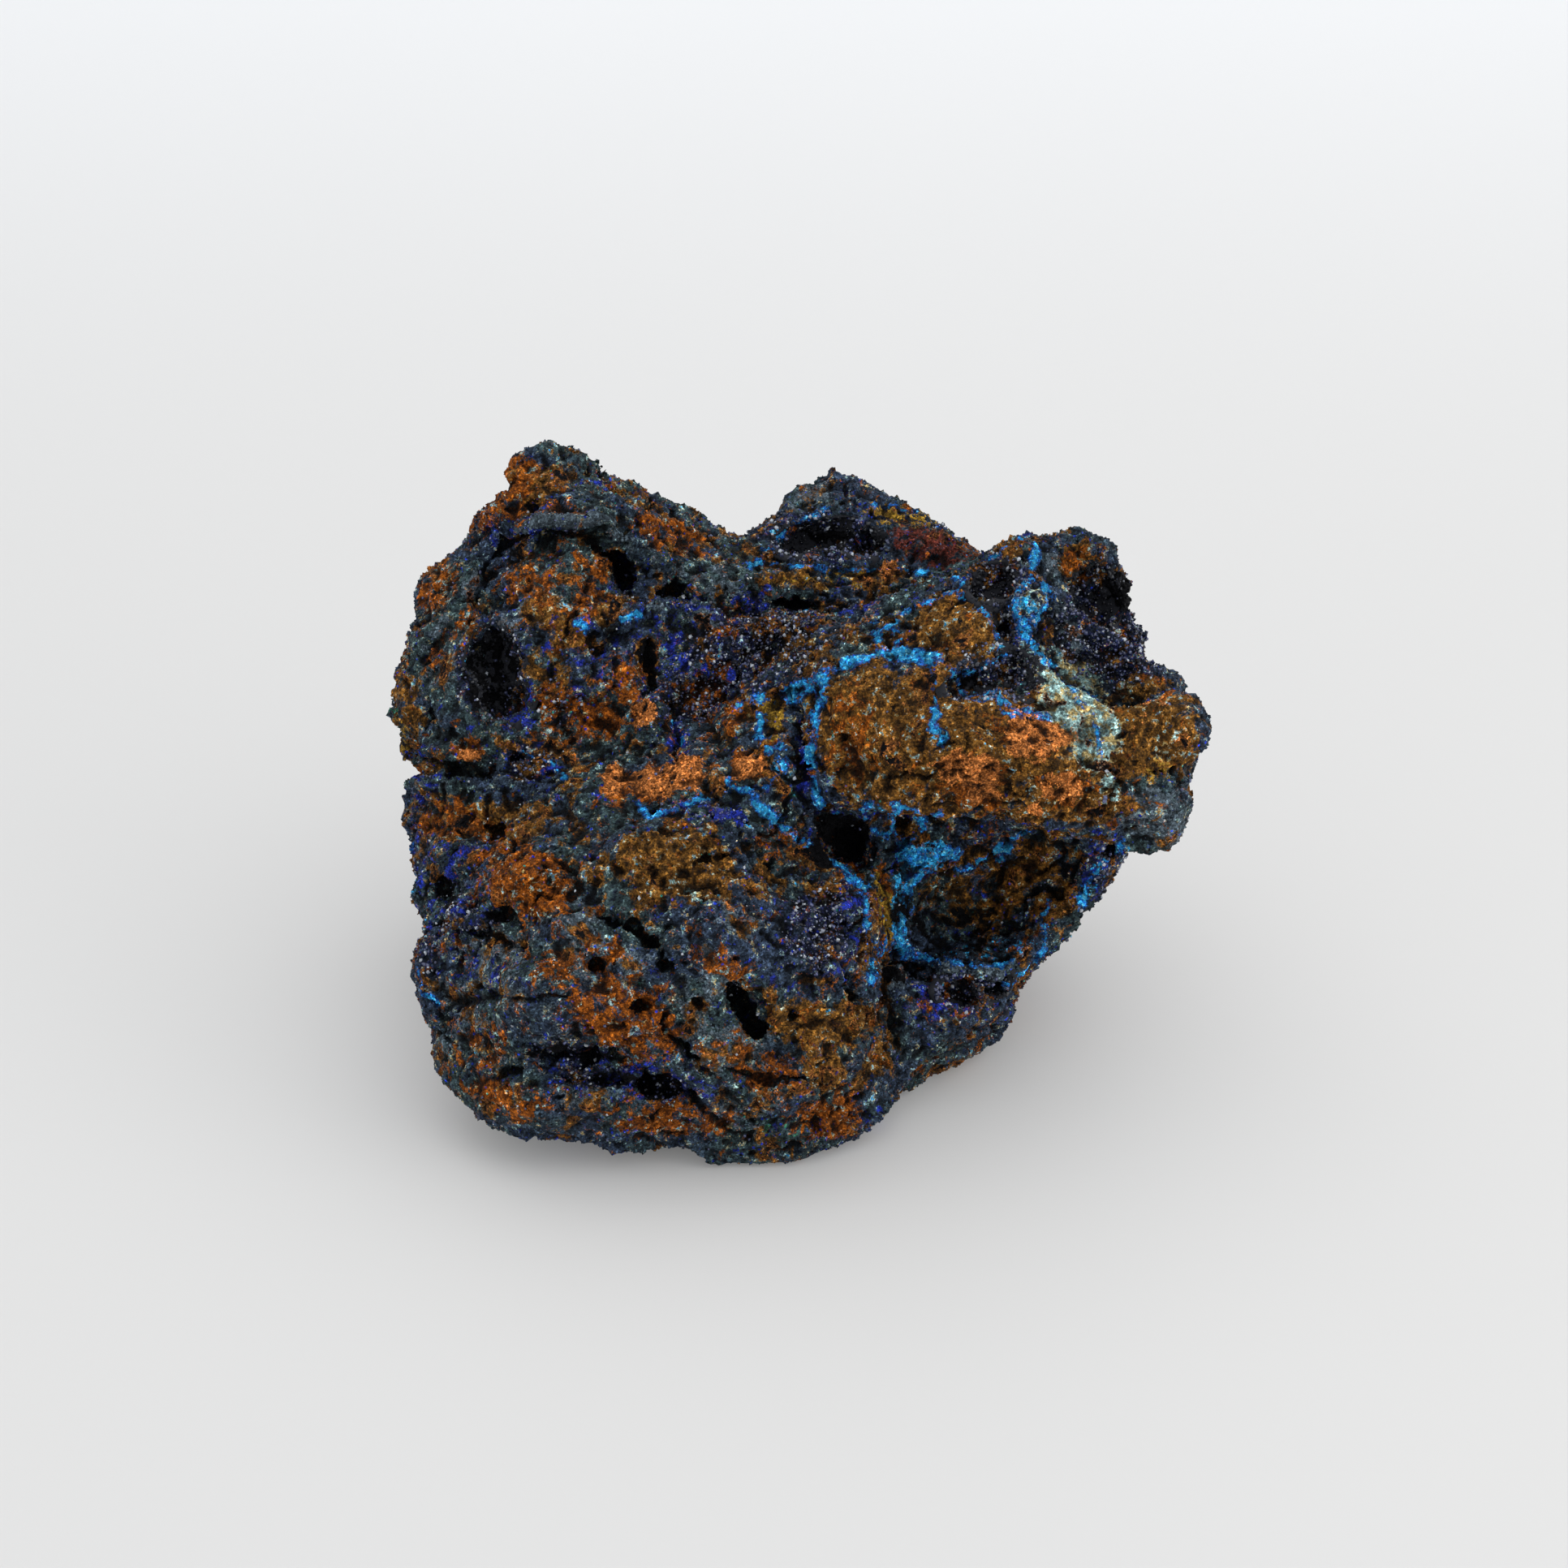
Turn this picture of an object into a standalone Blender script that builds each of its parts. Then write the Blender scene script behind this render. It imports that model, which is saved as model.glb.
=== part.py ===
"""Azurite specimen: a craggy lump of iron-stained rock with crystal crusts in its hollows.

Run with: blender --background --python part.py
Tables are in millimetres; the scene is in metres, +Z up, standing on z = 0 with the origin
under the middle of the specimen.
"""

import math

import bmesh
import bpy
from mathutils import Euler, Matrix, Vector, bvhtree, noise

MM = 0.001

# The display frame leans back: "across" runs to the right, "up" along the leaning display
# plane and "deep" away from the viewer, all from a point at the middle of the specimen.
# Sight lines meet at the viewer's eye, so what lies deeper stands wider apart.
DISPLAY_TILT = math.radians(28)
EYE_DISTANCE = 500.0
MIDDLE_HEIGHT = 37.0
# The specimen's origin, seen from the point on the floor under the display frame's own.
ORIGIN_SHIFT = Vector((-0.5, 6.1, 0.0))

# Blender draws the offsets of its vector noise from this, or from the clock without it.
NOISE_SEED = 7
WELD_VOXEL = 1.3
ROCK_TRIANGLES = 4400
SMALLEST_EDGE = 0.01
CRUST_GAP = 0.45
CRUST_THICKNESS = 0.8
CRYSTAL_SHARE = 0.24
CRYSTALS_ACROSS = 7
HOLLOW_WOBBLE = 0.9
WOBBLE_WAVES = 1.6
CUTTER_FINENESS = 2
WIDE_HOLLOW = 9.0
FLOOR_BLOCK = 200.0

# The rock's masses, each the hull of its corners. "seen" corners are (across, up, deep) in the
# display frame, and "hidden" ones are plain (x, y, z) from the point on the floor under it.
MASSES = {
    "front_block": {
        "seen": [
            (-46, -23, -2), (-44.5, -31, -4), (-42.5, -37, -7), (-38, -42, -11),
            (-30, -44, -12), (-18, -44.5, -12), (-11, -45.5, -11), (-2, -48, -9),
            (4, -46, -7), (12, -42.5, -5), (14, -36, -6), (12, -26, -12),
            (9.5, -17, -14), (-6.5, -12, -19), (-22.5, -8.5, -18), (-36.5, -11, -12),
            (-43.5, -16, -5), (-32.5, -28, -20), (-16.5, -32, -23), (-1.5, -30, -22),
            (-26.5, -17, -22), (-8.5, -18, -23), (3.5, -23, -20),
        ],
        "hidden": [(-25, 10, -3), (12, 10, -3), (12, 8, 30), (-35, 8, 30), (-36, 5, 6)],
    },
    "shoulder": {
        "seen": [
            (-36.5, -4.5, 0), (-40.5, -7.5, 2), (-22.5, 0.5, -7), (-6.5, 4, -9),
            (3, 5, -10), (5, -4, -8), (8, -12, -10), (-16.5, -8, -17), (-31.5, -9, -12),
        ],
        "hidden": [(-30, 25, 5), (25, 25, 5), (-30, 25, 36), (20, 25, 40), (5, 12, 42)],
    },
    "saddle": {
        "seen": [
            (-10.5, 20.5, 7), (-1, 20, 5), (6, 21, 2), (-15, 13, 5), (-21, 8, 3),
            (-12, 4, -3), (1, 6, -6), (4, 12, -6),
        ],
        "hidden": [(-20, 30, 20), (20, 30, 20), (-15, 30, 42), (12, 28, 44)],
    },
    "saddle_back": {
        "seen": [(-9.5, 31.5, 20), (-2, 29.5, 20), (-12, 24, 11), (1, 24, 11)],
        "hidden": [(-18, 43, 10), (6, 43, 10), (-14, 44, 44), (4, 43, 44)],
    },
    "left_mass": {
        "seen": [
            (-48.5, 8.5, 14), (-47.5, 16.5, 14), (-46, 24.5, 16), (-40.5, 28.5, 18),
            (-42.5, 6.5, 4), (-32.5, 0.5, 2), (-20.5, 3.5, 2), (-14.5, 16.5, 4),
            (-10.5, 22.5, 8), (-26.5, 20.5, 2), (-36.5, 18.5, 3), (-36.5, 33, 20),
        ],
        "hidden": [(-40, 38, 14), (-45, 33, 40), (-10, 43, 40), (-10, 42, 6)],
    },
    "left_peak": {
        "seen": [
            (-29, 43.8, 15), (-33, 41.5, 16), (-36.5, 33, 14), (-22.5, 38.5, 17),
            (-9.5, 32.5, 22), (-4, 30, 24), (-26.5, 26.5, 4), (-14.5, 24.5, 10),
        ],
        "hidden": [(-28, 42, 48), (-10, 46, 44), (-30, 40, 60)],
    },
    "left_flank": {
        "seen": [
            (-46.5, 0.5, 12), (-46.5, -7.5, 10), (-46, -14.5, 8), (-45, -20, 4),
            (-36.5, -6.5, -2), (-34.5, -13.5, -4), (-40.5, 3.5, 8),
        ],
        "hidden": [(-42, 28, 10), (-38, 33, 25)],
    },
    "back_mass": {
        "seen": [
            (-2.5, 31.5, 24), (2, 36, 28), (5, 40, 28), (9, 36.2, 28),
            (12.5, 34.5, 27), (20, 32, 25), (24, 28.8, 24), (23.5, 24.5, 18),
            (3.5, 22.5, 12), (-4.5, 27, 16),
        ],
        "hidden": [
            (10, 44, 8), (33, 38, 25), (-5, 44, 42), (28, 40, 42), (0, 30, 4), (25, 32, 4),
        ],
    },
    "right_lobe": {
        "seen": [
            (3.5, 17.5, -4), (13.5, 24, -3), (25.5, 27, -4), (33.5, 22.5, -6),
            (38.5, 11.5, -12), (41.5, 12.5, -6), (50.5, 10.5, -4), (52, 6, -6),
            (50, 0.5, -9), (50, -3.5, -11), (48.5, -7, -13), (45.5, -7.5, -15),
            (33.5, -4.5, -18), (14.5, -3.5, -14), (5.5, -2.5, -13), (4.5, 11.5, -14),
            (13.5, 6.5, -20), (23.5, 4.5, -22), (33.5, 1.5, -22), (43.5, 1.5, -18),
        ],
        "hidden": [(20, 15, 30), (44, 12, 42), (40, 20, 45), (5, 20, 45)],
    },
    "right_top": {
        "seen": [
            (24.5, 27.5, -2), (29.5, 30.5, -2), (32.5, 29.5, -2), (38, 31, 3),
            (40.5, 29, 6), (41.8, 26.5, 8), (42.3, 18.5, 9), (44.5, 14.5, 8),
        ],
        "hidden": [(39, 28, 40), (20, 28, 40), (43, 22, 35), (30, 34, 55)],
    },
    "bay_wall": {
        "seen": [
            (43.8, -8.5, 6), (37.5, -13.5, 6), (34.5, -16.5, 6), (30.5, -22.5, 6),
            (27.5, -27.5, 6), (14.5, -22.5, 4), (11.5, -12.5, 2), (15.5, -4.5, 0),
            (33.5, -5.5, 0),
        ],
        "hidden": [(38, 20, 14), (30, 30, 8), (10, 30, 3), (43, 18, 30), (35, 32, 35)],
    },
    "heart": {
        "seen": [],
        "hidden": [
            (-36, 32, 8), (-38, 34, 30), (-29, 38, 50), (-10, 43.5, 42), (8, 43.5, 40),
            (28, 39, 44), (37, 33, 34), (35, 31, 10), (11, 43, 7), (-14, 42, 6), (-24, 42, 20),
            (26, 41, 20), (-37, 5, 14), (-38, 6, 28), (-20, 14, 4), (20, 14, 6), (36, 15, 31),
            (38, 16, 46), (-24, 14, 38), (26, 28, 54),
        ],
    },
    "lower_right": {
        "seen": [
            (18.5, -36, 7), (22.5, -34.5, 8), (26.5, -32, 9), (28.5, -27.5, 8),
            (27.5, -24.5, 4), (21.5, -24.5, 0), (14.5, -23.5, -2), (12.5, -29.5, -4),
            (20.5, -29.5, -4), (14, -36.5, 2),
        ],
        "hidden": [(10, 10, -3), (28, 15, 0), (30, 15, 20), (8, 10, 20)],
    },
    "foot": {
        "seen": [],
        "hidden": [
            (-33, 0, -3), (-27, -9, -3), (-14, -18, -3), (0, -27, -3), (10, -22, -3),
            (20, -4, -3), (26, 12, -3), (18, 31, -3), (-16, 34, -3), (-31, 22, -3),
            (-36, 2, 10), (-15, -18, 10), (24, 0, 10), (30, 16, 10), (20, 36, 10),
            (-18, 38, 10), (-36, 26, 10),
        ],
    },
}

# Rounded lumps and hollows are (centre, radii, roll): the centre and the three radii are
# across, up and deep in the display frame, and the roll is in degrees, anticlockwise.
EDGE_LUMPS = {
    "panel_dome": ((21.8, 18.2, -7.5), (5.8, 4.8, 4.5), 0),
    "bay_lug": ((30.3, 22.4, -8), (2.6, 3.4, 4.5), 10),
    "right_end_upper": ((44.5, 6, -12), (6.3, 5, 6.5), 0),
    "right_end_lower": ((45, -3.5, -12), (4.8, 4.5, 5.5), 0),
    "horn_left": ((29.2, 28.2, -2), (3, 3.4, 4), 0),
    "horn_right": ((37.2, 28.6, 2), (4, 3.2, 4), 0),
    "heel": ((-43, -25, -4), (3, 4.5, 6), 0),
    "back_lump": ((17.5, 27.5, 22), (7, 4, 6), -20),
    "upper_ridge": ((-20, 33.6, 13), (7, 2.4, 6), -25),
    "back_left_lump": ((-25, 14, 39), (9, 6, 6), 20),
    "back_middle_lump": ((4, 8, 42), (8, 6, 6), -15),
    "back_right_lump": ((24, 16, 38), (7, 6, 6), 30),
    "back_low_lump": ((-14, -6, 42), (9, 5, 6), -10),
    "flank_lump": ((-44, 6, 26), (4.5, 5, 7), 15),
}
FAR_HOLLOWS = {
    "back_slit": ((3, 21.8, 9), (7, 1.8, 8), -4),
    "back_cleft": ((-8, 12, 48), (2.5, 9, 6), 25),
    "back_pit": ((14, 2, 48), (4.5, 6.5, 6), -20),
    "back_left_pit": ((-31, 3, 40), (5.5, 4, 7), 10),
    "flank_pit": ((-49, 8, 24), (4, 3, 5), 0),
}

# These are placed on the skin of the masses, as seen along the display's sight lines: the
# centre's third number says how far it lies behind the skin.
SKIN_LUMPS = {
    "middle_knob": ((-16.6, 7.4, -0.5), (2.6, 3.6, 3.5), 0),
    "tongue": ((12.8, -15.5, 0.5), (2.6, 7.5, 3.5), 5),
    "bay_lip_left": ((31.5, 13.8, 1.5), (4.5, 1.6, 3), -45),
    "bay_lip_right": ((37, 8.5, 1.2), (1.8, 5.5, 3), 20),
    "left_knuckle": ((-40, -8.8, 1), (4.6, 2.8, 3.5), -10),
    "left_rib": ((-41, 3.4, 0.5), (4.6, 2.4, 3.5), 0),
    "left_band": ((-38.5, -1.2, 1), (7.5, 1.6, 3), -3),
    "left_toe": ((-38.5, -17, 1), (2, 4.5, 3), 25),
    "crevice_pebble": ((13.7, -24.5, 0), (2.2, 2.7, 3), 0),
    "peak_ledge_left": ((-37.5, 26.5, 1), (1.5, 5.5, 3), -28),
    "peak_ledge_top": ((-28, 32, 1), (7, 1.5, 3), 6),
    "peak_ledge_right": ((-18.5, 29.8, 1), (4.5, 1.5, 3), -38),
    "brow_panel": ((-29, 24, 1.2), (6, 4, 3.2), -10),
    "valley_lip": ((-15, 20.6, 1), (7, 1.7, 3), 8),
    "upper_pillow": ((-23.5, 12, 1.5), (5, 3.2, 3.5), 25),
    "brown_pillow": ((-11, -6.5, 1.5), (8, 4.2, 3.5), 10),
    "brown_knob": ((-19, -9, 1), (4, 3, 3), 0),
    "rust_pillow": ((-30, -11, 1.5), (7, 3.5, 3.5), 25),
    "front_pillow": ((-25, -27, 1.2), (10, 4.2, 3.2), -14),
    "front_shelf": ((-27, -40, 1), (9, 2.2, 3), -5),
    "front_bulge": ((0, -35, 1.5), (8, 5, 4), 20),
    "front_right_rib": ((7, -30, 1), (2.5, 7, 3), 12),
    "panel_sill": ((16, -2.5, 1), (9, 1.6, 2.6), -4),
    "panel_top": ((12, 13.5, 1), (7, 1.6, 2.6), 12),
    "panel_side": ((4, 8, 1), (1.4, 6, 2.6), 2),
}
SKIN_HOLLOWS = {
    "under_bay": ((26.5, -13.4, 0.5), (13, 7.2, 9), 20),
    "centre_hole": ((7.9, -8, 3), (3.3, 4.2, 12), 25),
    "centre_hole_mouth": ((5.4, -5.4, 1.5), (3.2, 2.1, 7), -35),
    "channel": ((8.6, 2, 0), (1.7, 6.5, 4.5), 8),
    "front_slit": ((-25.5, -34.6, 0.5), (9.5, 2, 4.5), -8),
    "slit_end": ((-14.5, -37.2, 0.5), (3.4, 1.9, 4.5), -12),
    "front_crease": ((13.4, -29, 0.5), (1.8, 8, 5.5), 8),
    "left_notch": ((-41.5, -13.6, 0.5), (2.4, 2.9, 4.5), 20),
    "left_recess": ((-35, -16.4, 0.5), (3, 1.8, 4), -20),
    "band_recess": ((-35.4, -5.2, 0.5), (3.2, 1.7, 4), 0),
    "triangle_hole": ((-33, 3.2, 0.5), (2.4, 1.8, 4.5), 15),
    "rib_recess": ((-43.5, 8.5, 0.3), (1.6, 3.2, 3.5), -10),
    "lip_pit": ((-4.4, -27.8, 0.5), (2.1, 3.4, 5), 20),
    "shoulder_pit": ((-6.5, -8.3, 0), (2, 1.8, 4), 0),
    "valley": ((-6, 14, 0.5), (11.5, 3.6, 5.5), 30),
    "valley_slot": ((-15.6, 14.8, 0.3), (1.5, 3.2, 4), -5),
    "valley_nook": ((-23, 17.4, 0.3), (2.4, 2, 4), 0),
    "ledge_slit": ((-12.3, 23.4, 1), (3.6, 1.6, 6), -12),
    "brow_pit": ((-19.8, 26, 0.5), (2.6, 3, 4.5), 20),
    "brow_trough_top": ((-28, 29.2, 0.3), (6, 1.5, 3.5), 2),
    "brow_trough_left": ((-36.4, 22.5, 0.3), (1.5, 4.5, 3.5), -8),
    "peak_pit": ((-28, 35.6, 0.3), (2.2, 1.6, 3.5), 0),
    "front_crack": ((-19.5, -17.5, 0.3), (4.4, 1.3, 3.5), -28),
    "front_pit": ((-23.2, -22.4, 0.3), (2.2, 1.7, 4), -10),
    "pillow_pit": ((-17.5, -27.4, 0), (2.4, 1.7, 4.5), -30),
    "front_cleft": ((-13.2, -31.6, 0.3), (1.5, 3.4, 4), 25),
    "vug_crevice": ((16.6, -22, 1), (4, 1.6, 5), -10),
    "panel_field": ((12, 6, -1.5), (7, 6, 3), 0),
    "eye_of_fan": ((13, 17, 0), (1.5, 1.3, 3.5), 0),
    "end_pit": ((45, -6.5, 0), (1.6, 1.6, 3.5), 0),
    "lip_hole": ((40.5, -7.8, 0.5), (1.5, 1.8, 4), 0),
}

# A hollow that a crust lines can be several such rounds run together, on the skin as well.
LINED_HOLLOWS = {
    "right_bay_druse": [((38, 22.4, -1.5), (6.2, 7, 7.5), -15), ((39, 16.2, -3.5), (10, 6.4, 7.5), -42)],
    "left_vug_druse": [((-35.8, 15.2, 0.5), (5.4, 6.2, 8.5), 10), ((-34.6, 10.4, 0.5), (4.9, 4.8, 8), 0)],
    "middle_bay_druse": [
        ((25.6, 24.6, -0.5), (5.2, 5.2, 6.5), -20), ((27.2, 19.4, 0), (3, 4, 5.5), 0),
        ((28.4, 13.6, -0.5), (4.5, 4.9, 6.5), 0), ((23.8, 12.3, 0), (5.7, 3.7, 6.5), 10),
    ],
    "back_vug_druse": [((4, 30.6, 0), (7.6, 4.3, 7.5), 12), ((10, 29.6, 0), (4.8, 3.8, 6.5), -5)],
    "lower_vug_druse": [((21.8, -25.9, 0), (4.6, 3.8, 6), -8), ((26, -24.8, 0), (3.8, 3.4, 5), 10)],
}

# Patches of crystals that stand on the rock's skin: (across, up, half width, half height,
# crystals, radius of one crystal).
CRYSTAL_PATCHES = {
    "front_patch": (3.8, -18, 4.5, 6.5, 15, 1.2),
    "valley_floor": (-4, 16, 8, 4, 13, 1.1),
    "slit_floor": (-25, -35.5, 8, 1.4, 7, 1.1),
}
CRYSTAL_SIDES = 4
# A crystal's profile is (width, height) rings and a tip, all for a radius of 1.
CRYSTAL_RINGS = [(1.0, -1.2), (1.0, 0.45)]
CRYSTAL_TIP = Vector((0.15, 0.1, 1.15))
CRYSTAL_LEAN = 0.6
GOLDEN_ANGLE = math.radians(137.508)

# The crags of the rock's skin: sizes, pitches, reaches and heights.
BEND_SIZE, BEND_REACH = 14, 5
FOLD_SIZE, FOLD_HEIGHT = 9, 1.4
BED_SIZE, LEDGE_PITCH = 16, 7.5
RIDGE_SIZE, RIDGE_HEIGHT = 5, 1.2
CRUMB_SIZE, CRUMB_HEIGHT = 2.2, 0.5
CRAG_SINK = 0.4
BEDDING = Vector((0.25, -0.35, 0.9)).normalized()
ANOTHER_PLACE = Vector((48, 144, 64))


def display_point(across, up, deep):
    """A point of the display frame, in metres in the specimen's own frame."""
    spread = 1 + deep / EYE_DISTANCE
    lean, rise = math.sin(DISPLAY_TILT), math.cos(DISPLAY_TILT)
    y = up * spread * lean + deep * rise
    z = up * spread * rise - deep * lean + MIDDLE_HEIGHT
    return (Vector((across * spread, y, z)) - ORIGIN_SHIFT) * MM


def floor_point(x, y, z):
    """A point given from the floor under the display frame, in the specimen's own frame."""
    return (Vector((x, y, z)) - ORIGIN_SHIFT) * MM


def clear_scene():
    """Removes whatever the file started with."""
    for old in list(bpy.data.objects):
        bpy.data.objects.remove(old)


def link(name, mesh):
    """A new object of that mesh, in the scene."""
    made = bpy.data.objects.new(name, mesh)
    bpy.context.scene.collection.objects.link(made)
    return made


def object_of(name, bm):
    """A new object that takes over bm."""
    mesh = bpy.data.meshes.new(name)
    bm.to_mesh(mesh)
    bm.free()
    return link(name, mesh)


def as_cutter(obj):
    """Marks an object as a helper, which isn't part of the specimen."""
    obj.hide_render = True
    obj.display_type = "WIRE"
    return obj


def stone_finish(name, colour, roughness):
    """A dull material of that colour."""
    material = bpy.data.materials.new(name)
    material.use_nodes = True
    shader = material.node_tree.nodes["Principled BSDF"]
    shader.inputs["Base Color"].default_value = (*colour, 1)
    shader.inputs["Roughness"].default_value = roughness
    shader.inputs["Metallic"].default_value = 0
    return material


def add_hull(bm, corners):
    """Adds the convex hull of the corners to bm."""
    hull = bmesh.new()
    verts = [hull.verts.new(corner) for corner in corners]
    made = bmesh.ops.convex_hull(hull, input=verts)
    spare = [v for v in made["geom_interior"] if isinstance(v, bmesh.types.BMVert)]
    bmesh.ops.delete(hull, geom=spare, context="VERTS")
    bmesh.ops.recalc_face_normals(hull, faces=hull.faces)
    mesh = bpy.data.meshes.new("hull")
    hull.to_mesh(mesh)
    hull.free()
    bm.from_mesh(mesh)
    bpy.data.meshes.remove(mesh)


def lump_matrix(place, radii, roll):
    """Takes a unit sphere to an ellipsoid that stands square in the display frame."""
    lean_back = Euler((-DISPLAY_TILT, 0, 0)).to_matrix()
    turn = Matrix.Rotation(math.radians(-roll), 3, "Y")
    # The ellipsoid's own axes are across, deep and up, as the specimen's are x, y and z.
    size = Matrix.Diagonal((radii[0] * MM, radii[2] * MM, radii[1] * MM))
    return Matrix.Translation(place) @ (lean_back @ turn @ size).to_4x4()


def add_lump(bm, place, radii, roll):
    """Adds an ellipsoid to bm."""
    matrix = lump_matrix(place, radii, roll)
    bmesh.ops.create_icosphere(bm, subdivisions=3, radius=1, matrix=matrix)


def add_hollow(bm, rounds, skin, depth, fineness, crystal_share=0.0):
    """Adds the shape of a lined hollow to bm, drawn in by depth all round.

    The rounds' radii wobble with the direction from their middles, so that its mouth is
    uneven. Crystals of up to that share of a round's least radius dent the shape, so that what
    it cuts has points.
    """
    for centre, radii, roll in rounds:
        place = behind_skin(skin, *centre)
        made = bmesh.ops.create_icosphere(bm, subdivisions=fineness, radius=1)
        for vertex in made["verts"]:
            way = vertex.co.copy()
            wobble = HOLLOW_WOBBLE * noise.noise(way * WOBBLE_WAVES + Vector(centre))
            crystal = max(0, noise.cell(way * CRYSTALS_ACROSS + Vector(centre)))
            dent = crystal_share * min(radii) * crystal
            sizes = [radius + wobble - depth - dent for radius in radii]
            vertex.co = lump_matrix(place, sizes, roll) @ way


def add_remesh(obj, size):
    """Welds what overlaps into one skin of even faces."""
    remesh = obj.modifiers.new("weld", "REMESH")
    remesh.mode = "VOXEL"
    remesh.voxel_size = size * MM


def add_boolean(obj, operation, other):
    """Joins the other object to obj, cuts it out of obj, or keeps what both hold."""
    boolean = obj.modifiers.new(operation.lower(), "BOOLEAN")
    boolean.operation = operation
    boolean.object = other
    boolean.use_self = True


def settle(obj):
    """Replaces the mesh of obj by what its modifiers make of it."""
    graph = bpy.context.evaluated_depsgraph_get()
    mesh = bpy.data.meshes.new_from_object(obj.evaluated_get(graph))
    obj.modifiers.clear()
    obj.data = mesh


def keep_largest_body(obj):
    """Drops the chips that a cut leaves loose, and collapses its shortest edges."""
    bm = bmesh.new()
    bm.from_mesh(obj.data)
    bmesh.ops.dissolve_degenerate(bm, edges=bm.edges, dist=SMALLEST_EDGE * MM)
    bodies = []
    left = set(bm.verts)
    while left:
        body, front = set(), [left.pop()]
        while front:
            vertex = front.pop()
            body.add(vertex)
            near = {edge.other_vert(vertex) for edge in vertex.link_edges} & left
            left -= near
            front.extend(near)
        bodies.append(body)
    bodies.sort(key=len)
    chips = [vertex for body in bodies[:-1] for vertex in body]
    bmesh.ops.delete(bm, geom=chips, context="VERTS")
    bmesh.ops.triangulate(bm, faces=bm.faces)
    bm.to_mesh(obj.data)
    bm.free()


def crag(point):
    """How far the rock's skin stands out there, in millimetres: folds, ledges and crumbs."""
    p = point / MM + ORIGIN_SHIFT
    bent = p + noise.noise_vector(p / BEND_SIZE) * BEND_REACH
    folds = noise.noise(bent / FOLD_SIZE) * FOLD_HEIGHT
    bedded = max(0, noise.noise((p + ANOTHER_PLACE) / BED_SIZE))
    ledge = math.sin(bent.dot(BEDDING) * 2 * math.pi / LEDGE_PITCH)
    ridge = (0.5 - abs(noise.noise((bent - ANOTHER_PLACE) / RIDGE_SIZE))) * RIDGE_HEIGHT
    crumb = noise.noise(p / CRUMB_SIZE) * CRUMB_HEIGHT
    return folds + bedded * ledge + ridge + crumb - CRAG_SINK


def roughen(mesh):
    """Moves each vertex along its normal by crag()."""
    moved = [v.co + v.normal * crag(v.co) * MM for v in mesh.vertices]
    for vertex, place in zip(mesh.vertices, moved):
        vertex.co = place


def skin_of(obj):
    """A search tree of the object's faces, for finding its skin along a sight line."""
    return bvhtree.BVHTree.FromObject(obj, bpy.context.evaluated_depsgraph_get())


def skin_under(skin, across, up):
    """Where the sight line through that point of the display frame meets the skin."""
    eye = display_point(0, 0, -EYE_DISTANCE)
    sight = (display_point(across, up, 0) - eye).normalized()
    place, normal, _, _ = skin.ray_cast(eye, sight)
    return place, normal, sight


def behind_skin(skin, across, up, sunk):
    """The point that lies that far behind the skin on the same sight line."""
    place, _, sight = skin_under(skin, across, up)
    return place + sight * sunk * MM


def add_crystal(bm, place, normal, radius, turn):
    """A squat crystal with flat sides and a roof of flat faces, rooted in the rock."""
    lean = noise.noise_vector(place / (radius * MM)) * CRYSTAL_LEAN
    upright = (normal + lean).normalized().to_track_quat("Z", "Y")
    matrix = Matrix.Translation(place) @ upright.to_matrix().to_4x4()
    matrix = matrix @ Matrix.Rotation(turn, 4, "Z") @ Matrix.Scale(radius * MM, 4)
    corners = [
        [
            bm.verts.new(matrix @ Vector((width * math.cos(a), width * math.sin(a), height)))
            for a in (2 * math.pi * side / CRYSTAL_SIDES for side in range(CRYSTAL_SIDES))
        ]
        for width, height in CRYSTAL_RINGS
    ]
    tip = bm.verts.new(matrix @ CRYSTAL_TIP)
    foot, eaves = corners
    bm.faces.new(foot[::-1])
    for side in range(CRYSTAL_SIDES):
        after = (side + 1) % CRYSTAL_SIDES
        bm.faces.new((foot[side], foot[after], eaves[after], eaves[side]))
        bm.faces.new((eaves[side], eaves[after], tip))


def crystals_on(rock):
    """One helper that holds the crystals of every patch, spread like seeds in a flower."""
    skin = skin_of(rock)
    bm = bmesh.new()
    for across, up, half_width, half_height, count, radius in CRYSTAL_PATCHES.values():
        for seed in range(count):
            reach = math.sqrt((seed + 0.5) / count)
            turn = seed * GOLDEN_ANGLE
            place, normal, _ = skin_under(
                skin,
                across + half_width * reach * math.cos(turn),
                up + half_height * reach * math.sin(turn),
            )
            add_crystal(bm, place, normal, radius * (0.8 + 0.4 * (seed % 3)), turn)
    return as_cutter(object_of("standing crystals", bm))


def build_masses():
    """The rock's masses and the lumps of its outline, welded into one skin."""
    bm = bmesh.new()
    for mass in MASSES.values():
        seen = [display_point(*corner) for corner in mass["seen"]]
        hidden = [floor_point(*corner) for corner in mass["hidden"]]
        add_hull(bm, seen + hidden)
    for centre, radii, roll in EDGE_LUMPS.values():
        add_lump(bm, display_point(*centre), radii, roll)
    rock = object_of("azurite_rock", bm)
    add_remesh(rock, WELD_VOXEL)
    settle(rock)
    return rock


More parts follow.
